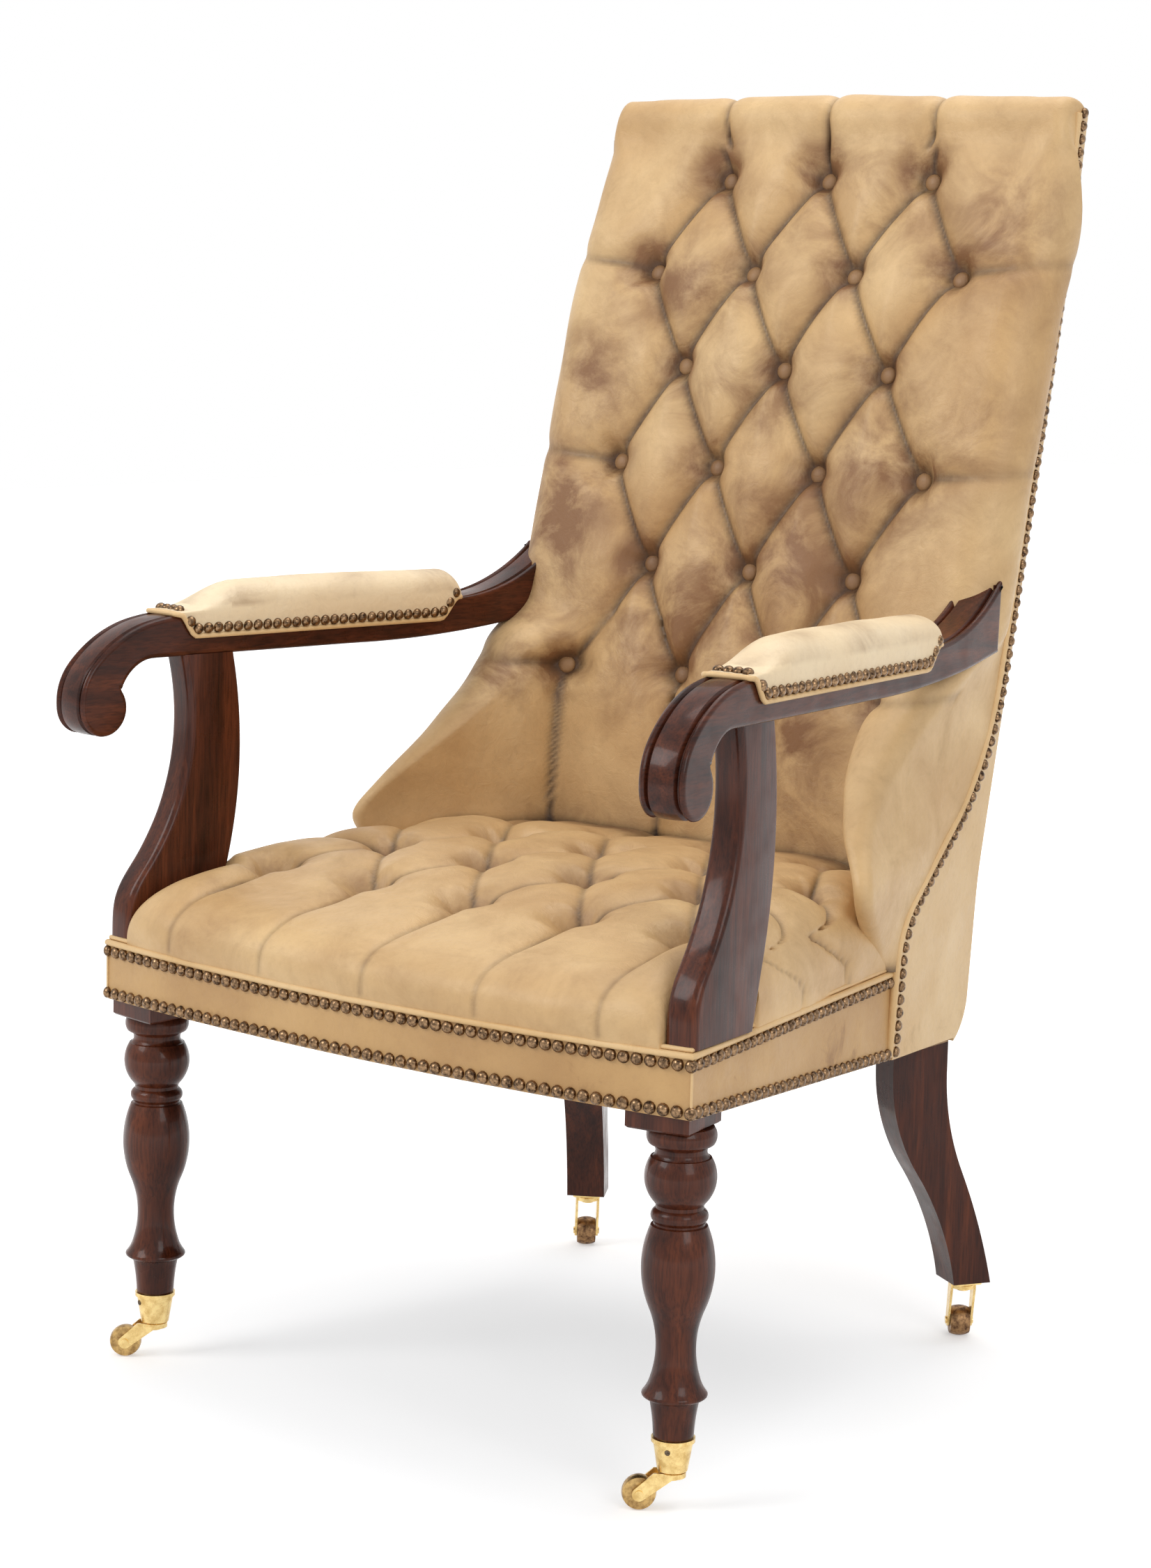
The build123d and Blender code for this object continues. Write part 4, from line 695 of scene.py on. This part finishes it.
stain = button_stain(seat_across, seat_up, seat_buttons, 0.48, 24)
stain = np.clip(np.maximum(stain, 0.35 * crease) + 0.2, 0, 1)
# Painted shade at the rear of the seat, where it runs in under the back: it is added to both the
# stain and the crease values, so the hide browns and darkens there.
rear_shade = 0.5 * smooth_step(grid_y, 90, 140)
# Painted shade along the folds and round the buttons, darker still down in the deepest hollows.
painted_shade = np.maximum(crease * 0.75, 0.28 * smooth_step(depth, 17, 27))
points = seat_grid.reshape(-1, 3).tolist()
faces = grid_faces(seat_rows, seat_columns)
index = np.arange(seat_rows * seat_columns).reshape(seat_rows, seat_columns)
edge_loop = np.r_[index[0], index[1:, -1], index[-1, -2::-1], index[-2:0:-1, 0]].tolist()
count, first = len(edge_loop), len(points)
points += [(points[k][0], points[k][1], seat_base - 0.2) for k in edge_loop]
for k in range(count):
    after = (k + 1) % count
    faces.append((edge_loop[after], edge_loop[k], first + k, first + after))
faces.append(tuple(first + k for k in reversed(range(count))))
seat = build_mesh("buttoned_seat", points, faces, tan_hide, sharp=75)
paint(seat, "stain", np.r_[np.clip(stain + rear_shade, 0, 1).ravel(), np.zeros(count)])
paint(seat, "crease", np.r_[np.clip(painted_shade + rear_shade, 0, 1).ravel(), np.zeros(count)])
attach(seat, chair)
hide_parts("seat_cushion")

# Back. One hide buttoned over a deep stuffing on the reclined frame, pleated out to its
# sides and swept forward at the foot into a wing on each side that meets the seat.
panel_lean = sin(radians(3.2)) / (cos(radians(3.2)) * cos(radians(10.157)))
panel_foot_z, wing_top_z = 290, 655
roll_foot_z, rim_top_z = 1088, 1122.3
side_roll_radius, side_roll_x = 42, 225
rim_inset, face_half, face_columns, side_columns = 7.6, 172, 72, 90
lining_half, lining_depth, lining_rear_y = 150, 26, 338
nose_z = (379, 405, 430, 450, 466, 485, 504, 541, 575, 600, 615, 628, 642, 655)
nose_x = (246, 258, 272, 281, 284, 272, 258, 237, 226, 224, 224, 224, 224, 225)
nose_y = (64, 34, 2, -20, -26, -14, -2, 34, 70, 96, 108, 120, 145, 168)
nose_r = (6, 8, 9, 9, 9, 10, 12, 20, 28, 32, 36, 38, 40, 42)
back_row_counts, back_row_z = (3, 4, 3, 4, 3, 4), (1062, 976, 883, 792, 698, 600)
back_depth, back_reach, back_seed = 27, 47, 11
back_uneven, back_uneven_size = 1.3, 60


def filleted(path, radii):
    """Line through given corners, each rounded to its radius."""
    path = [np.array(p, float) for p in path]
    out = [tuple(path[0])]
    for before, corner, after, radius in zip(path, path[1:], path[2:], radii):
        to_before = (before - corner) / np.linalg.norm(before - corner)
        to_after = (after - corner) / np.linalg.norm(after - corner)
        half = np.arccos(np.clip(to_before @ to_after, -1, 1)) / 2
        away = to_before + to_after
        away /= np.linalg.norm(away)
        start, end = (corner + d * radius / np.tan(half) for d in (to_before, to_after))
        middle = corner + away * (radius / sin(half) - radius)
        out += three_point_arc(tuple(start), tuple(middle), tuple(end), 16)
    out.append(tuple(path[-1]))
    return out


nail_corners = ((84, panel_foot_z), (84, 416), (253, 545), (324, 985), (334, 1122))
nail_path = np.array(filleted(nail_corners, (65, 205, 240)))


def panel_front(z):
    """Depth of the side panel's front edge at a height."""
    return np.interp(z, nail_path[:, 1], nail_path[:, 0])


def back_side_x(y, z):
    """Half width over the side panels, which lean out a little towards the top."""
    return side_x(y) + 1 + (z - panel_foot_z) * panel_lean


face_corners = ((142, seat_base), (142, 449), (150, 585), (240, 950), (303, 1100))
face = filleted(face_corners, (150, 200, 240))
roll = three_point_arc((304, 1104), (327, 1137), (345, 1122.5), 26)
face = soften(np.vstack([even_steps(face, 3.4), soften(even_steps(roll, 2.6), 2)]), 3)
face_run = run_along(face)
roll_start = float(face_run[np.argmax(face[:, 1] > roll_foot_z)])


def back_section(run, depth, height):
    """Points from the middle of the back out round its side to the piping, at one height.

    Below the top roll a section lies level. Over the roll it turns to face up and back, and
    share says how far over the roll it is.
    """
    share = np.clip((run - roll_start) / (face_run[-1] - roll_start), 0, 1)
    over = share > 0
    climb = (rim_top_z - roll_foot_z) * smooth_step(share, 0, 0.75)
    rim_z = roll_foot_z + climb if over else height
    rim_y = panel_front(rim_z) - rim_inset + 18 * share ** 2
    rim_x = back_side_x(rim_y, rim_z) - 1
    if over:
        inward = np.array([rim_y - depth, rim_z - height])
        length = float(np.linalg.norm(inward))
        inward, reach = inward / length, max(length, 3)
        radius = min(side_roll_radius, 0.5 * reach + 1)
        slack = side_roll_radius - radius
        centre_x = side_roll_x + (rim_x - radius - side_roll_x) * smooth_step(share, 0.3, 1)
        centre_x += slack * 0.75 * (1 - share)
    else:
        inward, reach = np.array([1, 0]), float(rim_y - depth)
        radius = float(np.interp(height, nose_z, nose_r))
        centre_x = float(np.interp(height, nose_z, nose_x))
    front = float(np.interp(height, nose_z, nose_y)) - depth if height < wing_top_z else 0
    centre = np.array([centre_x, front + radius])
    inner = np.array([min(face_half, centre_x - radius - 8), 0])
    to_inner = inner - centre
    entry = atan2(to_inner[1], to_inner[0])
    entry += np.arccos(np.clip(radius / np.linalg.norm(to_inner), -1, 1))
    end = np.array([rim_x, reach])
    to_end = end - centre
    gone = max(float(np.linalg.norm(to_end)), radius + 0.01)
    leave = atan2(to_end[1], to_end[0]) - np.arccos(np.clip(radius / gone, -1, 1))
    while entry > 0:
        entry -= 2 * pi
    while leave < entry:
        leave += 2 * pi
    arc = [centre + radius * np.array([cos(a), sin(a)]) for a in np.linspace(entry, leave, 22)]
    flat = even_steps(soften(even_steps([(0, 0), tuple(inner), tuple(arc[0])], 4), 60), 3)
    path = np.vstack([flat[:-1], arc, [end]])
    lengths = run_along(path)
    bend = lengths[len(flat) - 1]
    at = np.linspace(0, bend, face_columns)[:-1]
    at = np.r_[at, np.linspace(bend, lengths[-1], side_columns)]
    across, back = np.interp(at, lengths, path[:, 0]), np.interp(at, lengths, path[:, 1])
    return np.c_[across, depth + inward[0] * back, height + inward[1] * back], at


sections = [back_section(run, *point) for point, run in zip(face, face_run)]
half, half_run = (np.array(part) for part in zip(*sections))
for _ in range(12):
    smooth = averaged(half)
    smooth[:, -1] = half[:, -1]
    smooth[:, 0, 0] = 0
    half = smooth
back_grid = np.concatenate([half[:, :0:-1] * np.array([-1, 1, 1]), half], axis=1)
back_across = np.concatenate([-half_run[:, :0:-1], half_run], axis=1)
back_rows, back_columns = back_across.shape
back_up = np.repeat(face_run[:, None], back_columns, axis=1)


def run_at_height(z):
    """Distance up the face of the back to a height below the roll."""
    return np.interp(z, face[:-30, 1], face_run[:-30])


rows = button_rows(back_row_counts, run_at_height(np.array(back_row_z) + 6))
back_buttons = with_depths(rows, [back_depth] * 6)
back_folds = diamond_folds(rows, [back_depth] * 6, 20, back_reach)
for x, run in rows[0]:
    back_folds.append(((x, run), (x * 1.04, face_run[-1] - 6), back_depth, 9, 5, 44, 13))
for x, run in rows[5]:
    back_folds.append(((x, run), (x * 1.04, 40), back_depth, 15, 13, 44, 38))
for row in (rows[1], rows[3], rows[5]):
    for side in (1, -1):
        x, run = side * 1.5 * button_gap, row[0][1]
        back_folds.append(((x, run), (side * 320, run + 6), back_depth, 6, 3, 44, 8))
depth, crease = tufting(
    back_across, back_up, back_buttons, back_folds, back_reach, back_seed)
depth, crease = averaged(averaged(depth)), averaged(crease)
edge_fade = np.clip((half_run[:, -1:] - np.abs(back_across)) / 12, 0, 1)
end_fade = np.clip((face_run[-1] - back_up) / 10, 0, 1)
swell = 3.5 * np.clip(1 - np.abs(back_across) / 215, 0, 1) ** 0.5
sunk = (depth - swell) * edge_fade * end_fade
back_grid = stuffed(back_grid, sunk, back_uneven, back_uneven_size)

stain = button_stain(back_across, back_up, back_buttons, 0.85, 30)
# Patches browned by heads, backs and hands: place, width, height and strength of each.
for x, z, wide, tall, amount in (
    (30, 700, 110, 100, 0.66), (-60, 640, 110, 80, 0.6), (90, 560, 60, 90, 0.6),
    (-215, 740, 60, 110, 0.66), (140, 800, 70, 90, 0.55), (-110, 960, 90, 60, 0.5),
    (60, 1040, 120, 50, 0.4), (-235, 600, 60, 50, 0.45), (215, 1010, 60, 70, 0.5),
    (225, 830, 50, 60, 0.35), (-20, 860, 80, 60, 0.45), (-205, 860, 60, 60, 0.62),
):
    up = (back_up - run_at_height(z)) / tall
    stain = np.maximum(stain, amount * np.exp(-((back_across - x) / wide) ** 2 - up ** 2))
x, y, z = back_grid[..., 0], back_grid[..., 1], back_grid[..., 2]
# Browner towards the foot of the back, across its middle, just above the seat.
foot = 0.3 * (1 - smooth_step(z, 440, 500)) * (np.abs(back_across) < 200)
stain = np.clip(np.maximum(stain, 0.5 * crease) + 0.16 + foot, 0, 1)
# Painted shade along the foot of the back where it meets the seat, added to the painted shade along
# its folds and round its buttons.
under = np.where(np.abs(x) < seat_half_width(y) + 2, seat_top(x, y), seat_base)
contact = np.exp(-(np.clip(z - under, 0, None) / 6) ** 2)
painted_shade = np.clip(crease * 0.9 + 0.85 * contact, 0, 1)
# The skin is closed behind by a plain lining against the frame.
points = back_grid.reshape(-1, 3).tolist()
faces = grid_faces(back_rows, back_columns)
first = len(points)
for left, middle in zip(back_grid[:, 0], face):
    lining = max(float(left[1]), min(float(middle[0]) + lining_depth, lining_rear_y))
    points += [(-lining_half, lining, left[2]), (lining_half, lining, left[2])]
for i in range(back_rows - 1):
    a, b = i * back_columns, (i + 1) * back_columns
    a2, b2 = a + back_columns - 1, b + back_columns - 1
    p, q, r, s = range(first + 2 * i, first + 2 * i + 4)
    faces += [(a, b, r, p), (p, r, s, q), (q, s, b2, a2)]
top_left, top_right = first - back_columns, first - 1
last = len(points) - 1
faces.append(tuple(range(back_columns)) + (first + 1, first))
faces.append(tuple(range(top_right, top_left - 1, -1)) + (last - 1, last))
back = build_mesh("back_upholstery", points, faces, tan_hide, sharp=75)
extra = np.zeros(2 * back_rows)
paint(back, "stain", np.r_[stain.ravel(), extra])
paint(back, "crease", np.r_[painted_shade.ravel(), extra])
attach(back, chair)
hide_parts("back_cushion", "back_wing_right", "back_wing_left")

# Side and outside back panels, rail band and lip. Single hides glued and tacked over the
# frame's boards, lighter than the cushions because nobody leans on them, but for the band,
# which hands and shoes have browned.
panel_hide = leather("panel_hide", (0.76, 0.54, 0.285, 1), (0.63, 0.405, 0.185, 1), 0.45)
band_hide = leather("band_hide", (0.60, 0.370, 0.155, 1), (0.45, 0.255, 0.100, 1), 1.0)
coat(panel_hide, ["outside_back", "seat_lip"] + pairs("side_panel"))
coat(band_hide, ["rail_leather"])

# Covered buttons. Tan leather caps on wire, pulled down into the seat and the back with
# twine that is tied off under the webbing.
cap_head, cap_lift, cap_reach = (8.4, 4.4, (20, 10)), 1.6, 48
cap_seed, cap_lean = 5, 0.09


def scatter(name, places, facings, radius, height, detail, finish, seed, lean):
    """A domed head at every place, turned to face outward, each a little different."""
    host = bpy.data.meshes.new(name + "_places")
    host.from_pydata([tuple(mm * float(v) for v in p) for p in places], [], [])
    facing = host.attributes.new("facing", "FLOAT_VECTOR", "POINT")
    facing.data.foreach_set("vector", np.asarray(facings, np.float32).ravel())
    carrier = new_object(name + "_places", host)
    tree = bpy.data.node_groups.new(name + "_scatter", "GeometryNodeTree")
    tree.interface.new_socket("Geometry", in_out="INPUT", socket_type="NodeSocketGeometry")
    tree.interface.new_socket("Geometry", in_out="OUTPUT", socket_type="NodeSocketGeometry")
    settings = {
        "Radius": ("NodeSocketFloat", mm * radius),
        "Flatness": ("NodeSocketFloat", height / radius),
        "Spread": ("NodeSocketFloat", lean),
        "Seed": ("NodeSocketInt", seed),
    }
    keys = {}
    for label, (kind, value) in settings.items():
        socket = tree.interface.new_socket(label, in_out="INPUT", socket_type=kind)
        keys[label] = socket.identifier
    given = add(tree, "NodeGroupInput").outputs
    head = add(tree, "GeometryNodeMeshUVSphere", {
        "Segments": detail[0], "Rings": detail[1], "Radius": given["Radius"]})
    flat = add(tree, "ShaderNodeCombineXYZ", {"X": 1, "Y": 1, "Z": given["Flatness"]})
    pressed = add(tree, "GeometryNodeTransform", {"Geometry": head, "Scale": flat})
    outward = add(tree, "GeometryNodeInputNamedAttribute", {
        "Name": "facing"}, data_type="FLOAT_VECTOR")
    turned = add(tree, "FunctionNodeAlignRotationToVector", {"Vector": outward}, axis="Z")
    less = add(tree, "ShaderNodeMath", {0: given["Spread"], 1: -1}, operation="MULTIPLY")
    low = add(tree, "ShaderNodeCombineXYZ", {"X": less, "Y": less, "Z": -pi})
    high = add(tree, "ShaderNodeCombineXYZ", {"X": given["Spread"], "Y": given["Spread"], "Z": pi})
    tip = add(tree, "FunctionNodeRandomValue", data_type="FLOAT_VECTOR")
    feed(tree, tip, {0: low, 1: high, "Seed": given["Seed"]})
    tipped = add(tree, "FunctionNodeRotateRotation", {
        "Rotation": turned, "Rotate By": tip}, rotation_space="LOCAL")
    heads = add(tree, "GeometryNodeInstanceOnPoints", {
        "Points": given["Geometry"], "Instance": pressed, "Rotation": tipped})
    real = add(tree, "GeometryNodeRealizeInstances", {"Geometry": heads})
    smooth = add(tree, "GeometryNodeSetShadeSmooth", {"Geometry": real})
    coated = add(tree, "GeometryNodeSetMaterial", {"Geometry": smooth, "Material": finish})
    add(tree, "NodeGroupOutput", {"Geometry": coated})
    modifier = carrier.modifiers.new("scatter", "NODES")
    modifier.node_group = tree
    for label, (_, value) in settings.items():
        modifier[keys[label]] = value
    bpy.context.view_layer.update()
    evaluated = carrier.evaluated_get(bpy.context.evaluated_depsgraph_get())
    mesh = bpy.data.meshes.new_from_object(evaluated)
    mesh.name = name
    piece = new_object(name, mesh)
    bpy.data.objects.remove(carrier)
    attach(piece, chair)
    return piece


button_hide = leather("button_hide", (0.38, 0.215, 0.095, 1), (0.24, 0.125, 0.055, 1), 0.8)
for name, spots, grid, across, up in (
    ("seat", seat_buttons, seat_grid, seat_across, seat_up),
    ("back", back_buttons, back_grid, back_across, back_up),
):
    outward = surface_normals(grid)
    places, facings = [], []
    for x, run, _ in spots:
        away = np.hypot(across - x, up - run)
        facing = outward[away < cap_reach].mean(axis=0)
        facing /= np.linalg.norm(facing)
        places.append(grid.reshape(-1, 3)[np.argmin(away)] + facing * cap_lift)
        facings.append(facing)
    caps = scatter(
        "covered_buttons_" + name, places, facings, *cap_head, button_hide, cap_seed, cap_lean)
    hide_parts(name + "_buttons")

# Welts and piping. Cord wrapped in pale leather: a double welt over the rail nails, piping
# down the front edge of each side panel and a short seam at each front corner.
piping_hide = leather("piping_hide", (0.80, 0.56, 0.29, 1), (0.66, 0.42, 0.18, 1), 0.3)
welts = ((0.4, 376.4, 2.9), (-2.2, 380.9, 2.1))
seam_radius, seam_x, seam_y = 1.1, 320.4, -300.4
piping_radius, piping_foot_z = 3.7, 303


def tubes(name, lines, finish, around=10):
    """Round cords along lines of points, each line given with its radius and whether it closes."""
    points, faces = [], []
    for line, radius, closed in lines:
        line = [Vector(p) for p in line]
        count = len(line)
        first = len(points)
        side = None
        for i, here in enumerate(line):
            before = line[i - 1] if i or closed else here
            after = line[(i + 1) % count] if i < count - 1 or closed else here
            ahead = (after - before).normalized()
            side = side or ahead.orthogonal()
            side = (side - ahead * side.dot(ahead)).normalized()
            other = ahead.cross(side)
            for j in range(around):
                angle = 2 * pi * j / around
                points.append(here + (side * cos(angle) + other * sin(angle)) * radius)
        faces += rings_to_faces(count, around, not closed, first)
        if closed:
            near = points[first:first + around]
            last = first + (count - 1) * around
            shift = min(range(around), key=lambda k: (points[last] - near[k]).length)
            for j in range(around):
                a, b = last + j, last + (j + 1) % around
                c, d = first + (j + 1 + shift) % around, first + (j + shift) % around
                faces.append((a, b, c, d))
    piece = build_mesh(name, points, faces, finish, sharp=60)
    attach(piece, chair)
    return piece


def rail_line(out, rear):
    """Line round the front three rails, moved outward by a distance."""
    bow = [(x, seat_front_y(x) + cushion_gap - out) for x in np.linspace(-316, 316, 80)]
    side = [(side_x(y) + out, y) for y in np.linspace(rear, -297, 60)]
    corner = (side_x(frame_front_y) + out * 0.8, frame_front_y - out * 0.8)
    left = [(-x, y) for x, y in [corner] + side[::-1]]
    return side + [corner] + bow[::-1] + left


lines = [([(x, y, z) for x, y in rail_line(out, 80)], radius, False) for out, z, radius in welts]
for side in (1, -1):
    seam = [(side * seam_x, seam_y, z) for z in np.linspace(329, 364, 12)]
    lines.append((seam, seam_radius, False))
tubes("rail_welts", lines, piping_hide)
for end, side in both_sides:
    line = []
    for y, z in even_steps(nail_path, 6)[2:]:
        z = max(z, piping_foot_z)
        line.append((side * (back_side_x(y, z) - 1.2), y - 4.2, z))
    piping = tubes("panel_piping" + end, [(line, piping_radius, False)], piping_hide)
    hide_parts("side_piping" + end)

# Arm pads. Curled hair under tan leather, tacked down each side of the arm with close
# nails over a gimp welt and tapered to a thin lip at the front.
pad_hide = leather("pad_hide", (0.90, 0.74, 0.50, 1), (0.82, 0.63, 0.39, 1), 0.1)
pad_start, pad_end = along(-247), along(84)
pad_base_z, pad_around = 666, 40
pad_crown_share = 0.62
gimp_radius, gimp_out, gimp_end_z = 2.3, 22.2, 665.5


def pad_edge_z(u):
    """Height of the pad's lower edge along the arm."""
    front = smooth_step(u, pad_start + 2, pad_start + 20)
    rear = 1 - smooth_step(u, pad_end - 26, pad_end - 3)
    return pad_base_z - 1 - 19.5 * min(front, rear)


def pad_ring(u):
    """Outline of the pad across the arm: a full crown, then flaps down the arm's sides."""
    rise = 2.6 + 21.2 * smooth_step(u, pad_start + 8, pad_start + 78)
    rise += 2.2 * sin(pi * (u - pad_start) / (pad_end - pad_start))
    if u > pad_end - 14:
        rise *= (1 - np.clip((u - pad_end + 14) / 14.5, 0, 1) ** 3) ** 0.5
    low = pad_edge_z(u)
    half_width = 21.2 + 3.2 * min(1, rise / 20)
    ring = []
    for t in np.linspace(-1, 1, pad_around + 1):
        if abs(t) > pad_crown_share:
            drop = (abs(t) - pad_crown_share) / (1 - pad_crown_share)
            w = half_width - (half_width - 21.4) * drop ** 1.5
            ring.append((u, w * np.sign(t), pad_base_z + (low - pad_base_z) * drop))
        else:
            a = t / pad_crown_share * pi / 2
            ring.append((u, half_width * sin(a), pad_base_z + rise * max(cos(a), 0) ** 0.72))
    return ring + [(u, 18, low), (u, -18, low)]


lengths = np.r_[
    pad_start, np.linspace(pad_start + 1, pad_start + 60, 40),
    np.linspace(pad_start + 66, pad_end - 22, 30), np.linspace(pad_end - 20, pad_end, 24),
]
flat = np.array([ring for u in lengths for ring in pad_ring(u)])
for end, side in both_sides:
    grid = flat.copy()
    crumple = [noise.noise((u / 55, w / 30 + side * 9, z / 30)) for u, w, z in flat.tolist()]
    grid[:, 2] += np.array(crumple) * 1.2 * (flat[:, 2] > 668)
    points = [arm_point(side, u, w, z) for u, w, z in grid]
    faces = rings_to_faces(len(lengths), pad_around + 3)
    pad = build_mesh("arm_pad_upholstered" + end, points, faces, pad_hide, sharp=60)
    wear = [noise.noise((u / 60, w / 20, side * 4.0)) for u, w, _ in flat.tolist()]
    paint(pad, "stain", 0.5 * np.clip(np.array(wear) + 0.2, 0, None) * (flat[:, 2] > 672))
    paint(pad, "crease", [0.0] * len(points))
    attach(pad, chair)
    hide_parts("arm_pad" + end)
    steps = np.linspace(pad_start + 1, pad_end - 1, 90)
    loop = [(u, gimp_out, pad_edge_z(u)) for u in steps]
    loop += [(pad_end + 1, w, gimp_end_z) for w in np.linspace(19, -19, 12)]
    loop += [(u, -gimp_out, pad_edge_z(u)) for u in steps[::-1]]
    loop += [(pad_start - 1.5, w, gimp_end_z) for w in np.linspace(-19, 19, 12)]
    gimp = [([arm_point(side, *p) for p in loop], gimp_radius, True)]
    tubes("arm_pad_welt" + end, gimp, piping_hide)

# Nails. Close rows of domed brass nails, darkened to bronze, driven by hand through every
# edge of the leather into the frame.
nail_bronze = worn_metal("nail_bronze", (0.30, 0.185, 0.10, 1), (0.035, 0.021, 0.014, 1), 0.2, 320)
rail_pitch, side_pitch, top_pitch, pad_pitch = 11.9, 11.6, 12, 11.3
rail_head, small_head = (5.4, 4.3, (12, 6)), (5.0, 4.0, (12, 6))
nail_lean = 0.12
upper_row_z, lower_row_z, rail_slope = 369, 331.6, 38 / 547
side_foot_z, pad_row_out, pad_row_up = 306, 22.9, 6.6
top_row_half, top_row_y, top_row_z = 243, 350.2, 1115.5


def spaced(line, pitch):
    """Points about a pitch apart along a line in space, with the direction there."""
    line = np.array(line, float)
    run = run_along(line)
    at = np.linspace(0, run[-1], int(round(run[-1] / pitch)) + 1)
    places = np.c_[[np.interp(at, run, line[:, k]) for k in range(3)]].T
    directions = np.gradient(places, axis=0)
    return places, directions / np.linalg.norm(directions, axis=1)[:, None]


places, facings = [], []
outline = rail_line(0.3, 74)
upper = [(x, y, upper_row_z) for x, y in outline]
lower = [(x, y, lower_row_z - rail_slope * (y - frame_front_y)) for x, y in outline]
for line in (upper, lower):
    spots, directions = spaced(line, rail_pitch)
    places += spots.tolist()
    facings += [(-d[1], d[0], 0) for d in directions]
rail_nails = scatter("rail_nails", places, facings, *rail_head, nail_bronze, 1, nail_lean)

places, facings = [], []
for side in (1, -1):
    line = []
    for y, z in nail_path:
        y, z = y + 5.2, max(z, side_foot_z)
        line.append((side * (back_side_x(y, z) + 0.2), y, z))
    spots, _ = spaced(line, side_pitch)
    places += spots.tolist()
    facings += [(side, 0.18, 0)] * len(spots)
top_line = [(x, top_row_y, top_row_z) for x in np.linspace(-top_row_half, top_row_half, 60)]
spots, _ = spaced(top_line, top_pitch)
places += spots.tolist()
facings += [(0, 1, 0.06)] * len(spots)
back_nails = scatter("back_nails", places, facings, *small_head, nail_bronze, 2, nail_lean)

places, facings = [], []
pad_run = np.linspace(pad_start + 13, pad_end - 8, 80)
for side in (1, -1):
    stations = []
    for edge in (1, -1):
        line = [(u, pad_row_out * edge, pad_edge_z(u) + pad_row_up) for u in pad_run]
        stations += [(u, w, z, 0, edge, 0) for u, w, z in spaced(line, pad_pitch)[0]]
    for u, z, lean in ((pad_start + 7.5, 668.6, -0.15), (pad_end + 0.2, 672.5, 1.6)):
        stations += [(u, w, z, lean, 0, 1) for w in (-13, -4.4, 4.4, 13)]
    for u, w, z, du, dw, dz in stations:
        inner, outer = arm_point(side, u, w, z), arm_point(side, u + du, w + dw, z + dz)
        places.append(inner)
        facings.append([b - a for a, b in zip(inner, outer)])
pad_nails = scatter("arm_pad_nails", places, facings, *small_head, nail_bronze, 3, nail_lean)

# Castor cup screws. Two countersunk screws through the brass cup fix it to each front leg,
# and they have gone dark.
screw_steel = worn_metal("screw_steel", (0.20, 0.15, 0.10, 1), (0.05, 0.04, 0.03, 1), 0.4, 600)
cup_radius, screw_z = 15.4, 51
screw_head = (2.4, 1.0, (14, 6))
places, facings = [], []
for side in (1, -1):
    for bearing in (radians(-70), radians(110)):
        out_x, out_y = side * cos(bearing), sin(bearing)
        x, y = side * leg_centre[0] + out_x * cup_radius, leg_centre[1] + out_y * cup_radius
        places.append((x, y, screw_z))
        facings.append((out_x, out_y, -0.12))
cup_screws = scatter("cup_screws", places, facings, *screw_head, screw_steel, 4, 0.05)

# Stage. A white floor under a broad soft lamp at the left front, weaker ones at the right
# and overhead, and the camera where the photograph was taken from.
pure_white = (1, 1, 1, 1)
ambient_grey = (0.59, 0.59, 0.60, 1)
floor_corners = [(-9, -6, 0), (9, -6, 0), (9, 14, 0), (-9, 14, 0)]


def shows_backdrop(tree):
    """One for a ray from the camera, off a shiny surface or through glass, else nought."""
    rays = add(tree, "ShaderNodeLightPath").outputs
    shown = rays["Is Camera Ray"]
    for kind in ("Is Glossy Ray", "Is Transmission Ray"):
        shown = add(tree, "ShaderNodeMath", {0: shown, 1: rays[kind]}, operation="MAXIMUM")
    return shown


floor_mesh = bpy.data.meshes.new("studio_floor")
floor_mesh.from_pydata(floor_corners, [], [(0, 1, 2, 3)])
floor = new_object("studio_floor", floor_mesh)
studio_white, tree, shader, where = new_finish("studio_white")
# The floor glows more with distance, so that it fades to white behind the chair's shadow.
away = add(tree, "ShaderNodeVectorMath", {0: where}, operation="LENGTH").outputs["Value"]
far = spread(tree, away, 0.5, 2.4, 0.4, 1)
glow = add(tree, "ShaderNodeMath", {0: far, 1: shows_backdrop(tree)}, operation="MULTIPLY")
feed(tree, shader, {
    "Base Color": (0.8, 0.8, 0.8, 1),
    "Roughness": 0.9,
    "Specular IOR Level": 0.1,
    "Emission Color": pure_white,
    "Emission Strength": glow,
})
floor_mesh.materials.append(studio_white)

world = bpy.data.worlds.new("studio")
bpy.context.scene.world = world
world.use_nodes = True
tree = world.node_tree
backdrop = blend(tree, shows_backdrop(tree), ambient_grey, pure_white)
feed(tree, tree.nodes["Background"], {"Color": backdrop, "Strength": 1})

lamp_aim = Vector((0, 0, 0.5))
for name, place, size, power in (
    ("key_lamp", (-1.6, -3.0, 2.9), 1.8, 55),
    ("right_lamp", (3.2, -1.4, 2.0), 1.6, 26),
    ("top_lamp", (0.2, 0.6, 3.2), 2.2, 34),
):
    lamp_data = bpy.data.lights.new(name, "AREA")
    lamp_data.size = size
    lamp_data.energy = power
    lamp = new_object(name, lamp_data)
    lamp.location = place
    lamp.rotation_euler = (lamp_aim - Vector(place)).to_track_quat("-Z", "Y").to_euler()

camera_data = bpy.data.cameras.new("photo_camera")
camera_data.lens = 79.74
camera_data.sensor_width = 36
camera_data.shift_x, camera_data.shift_y = -0.01826, -0.02972
camera = new_object("photo_camera", camera_data)
camera.matrix_world = Matrix((
    (0.78639, -0.10189, 0.60927, 1.864),
    (0.61722, 0.08979, -0.78165, -2.401),
    (0.02494, 0.99073, 0.1335, 0.973),
    (0, 0, 0, 1),
))
bpy.context.scene.camera = camera
bpy.context.scene.view_settings.view_transform = "Standard"

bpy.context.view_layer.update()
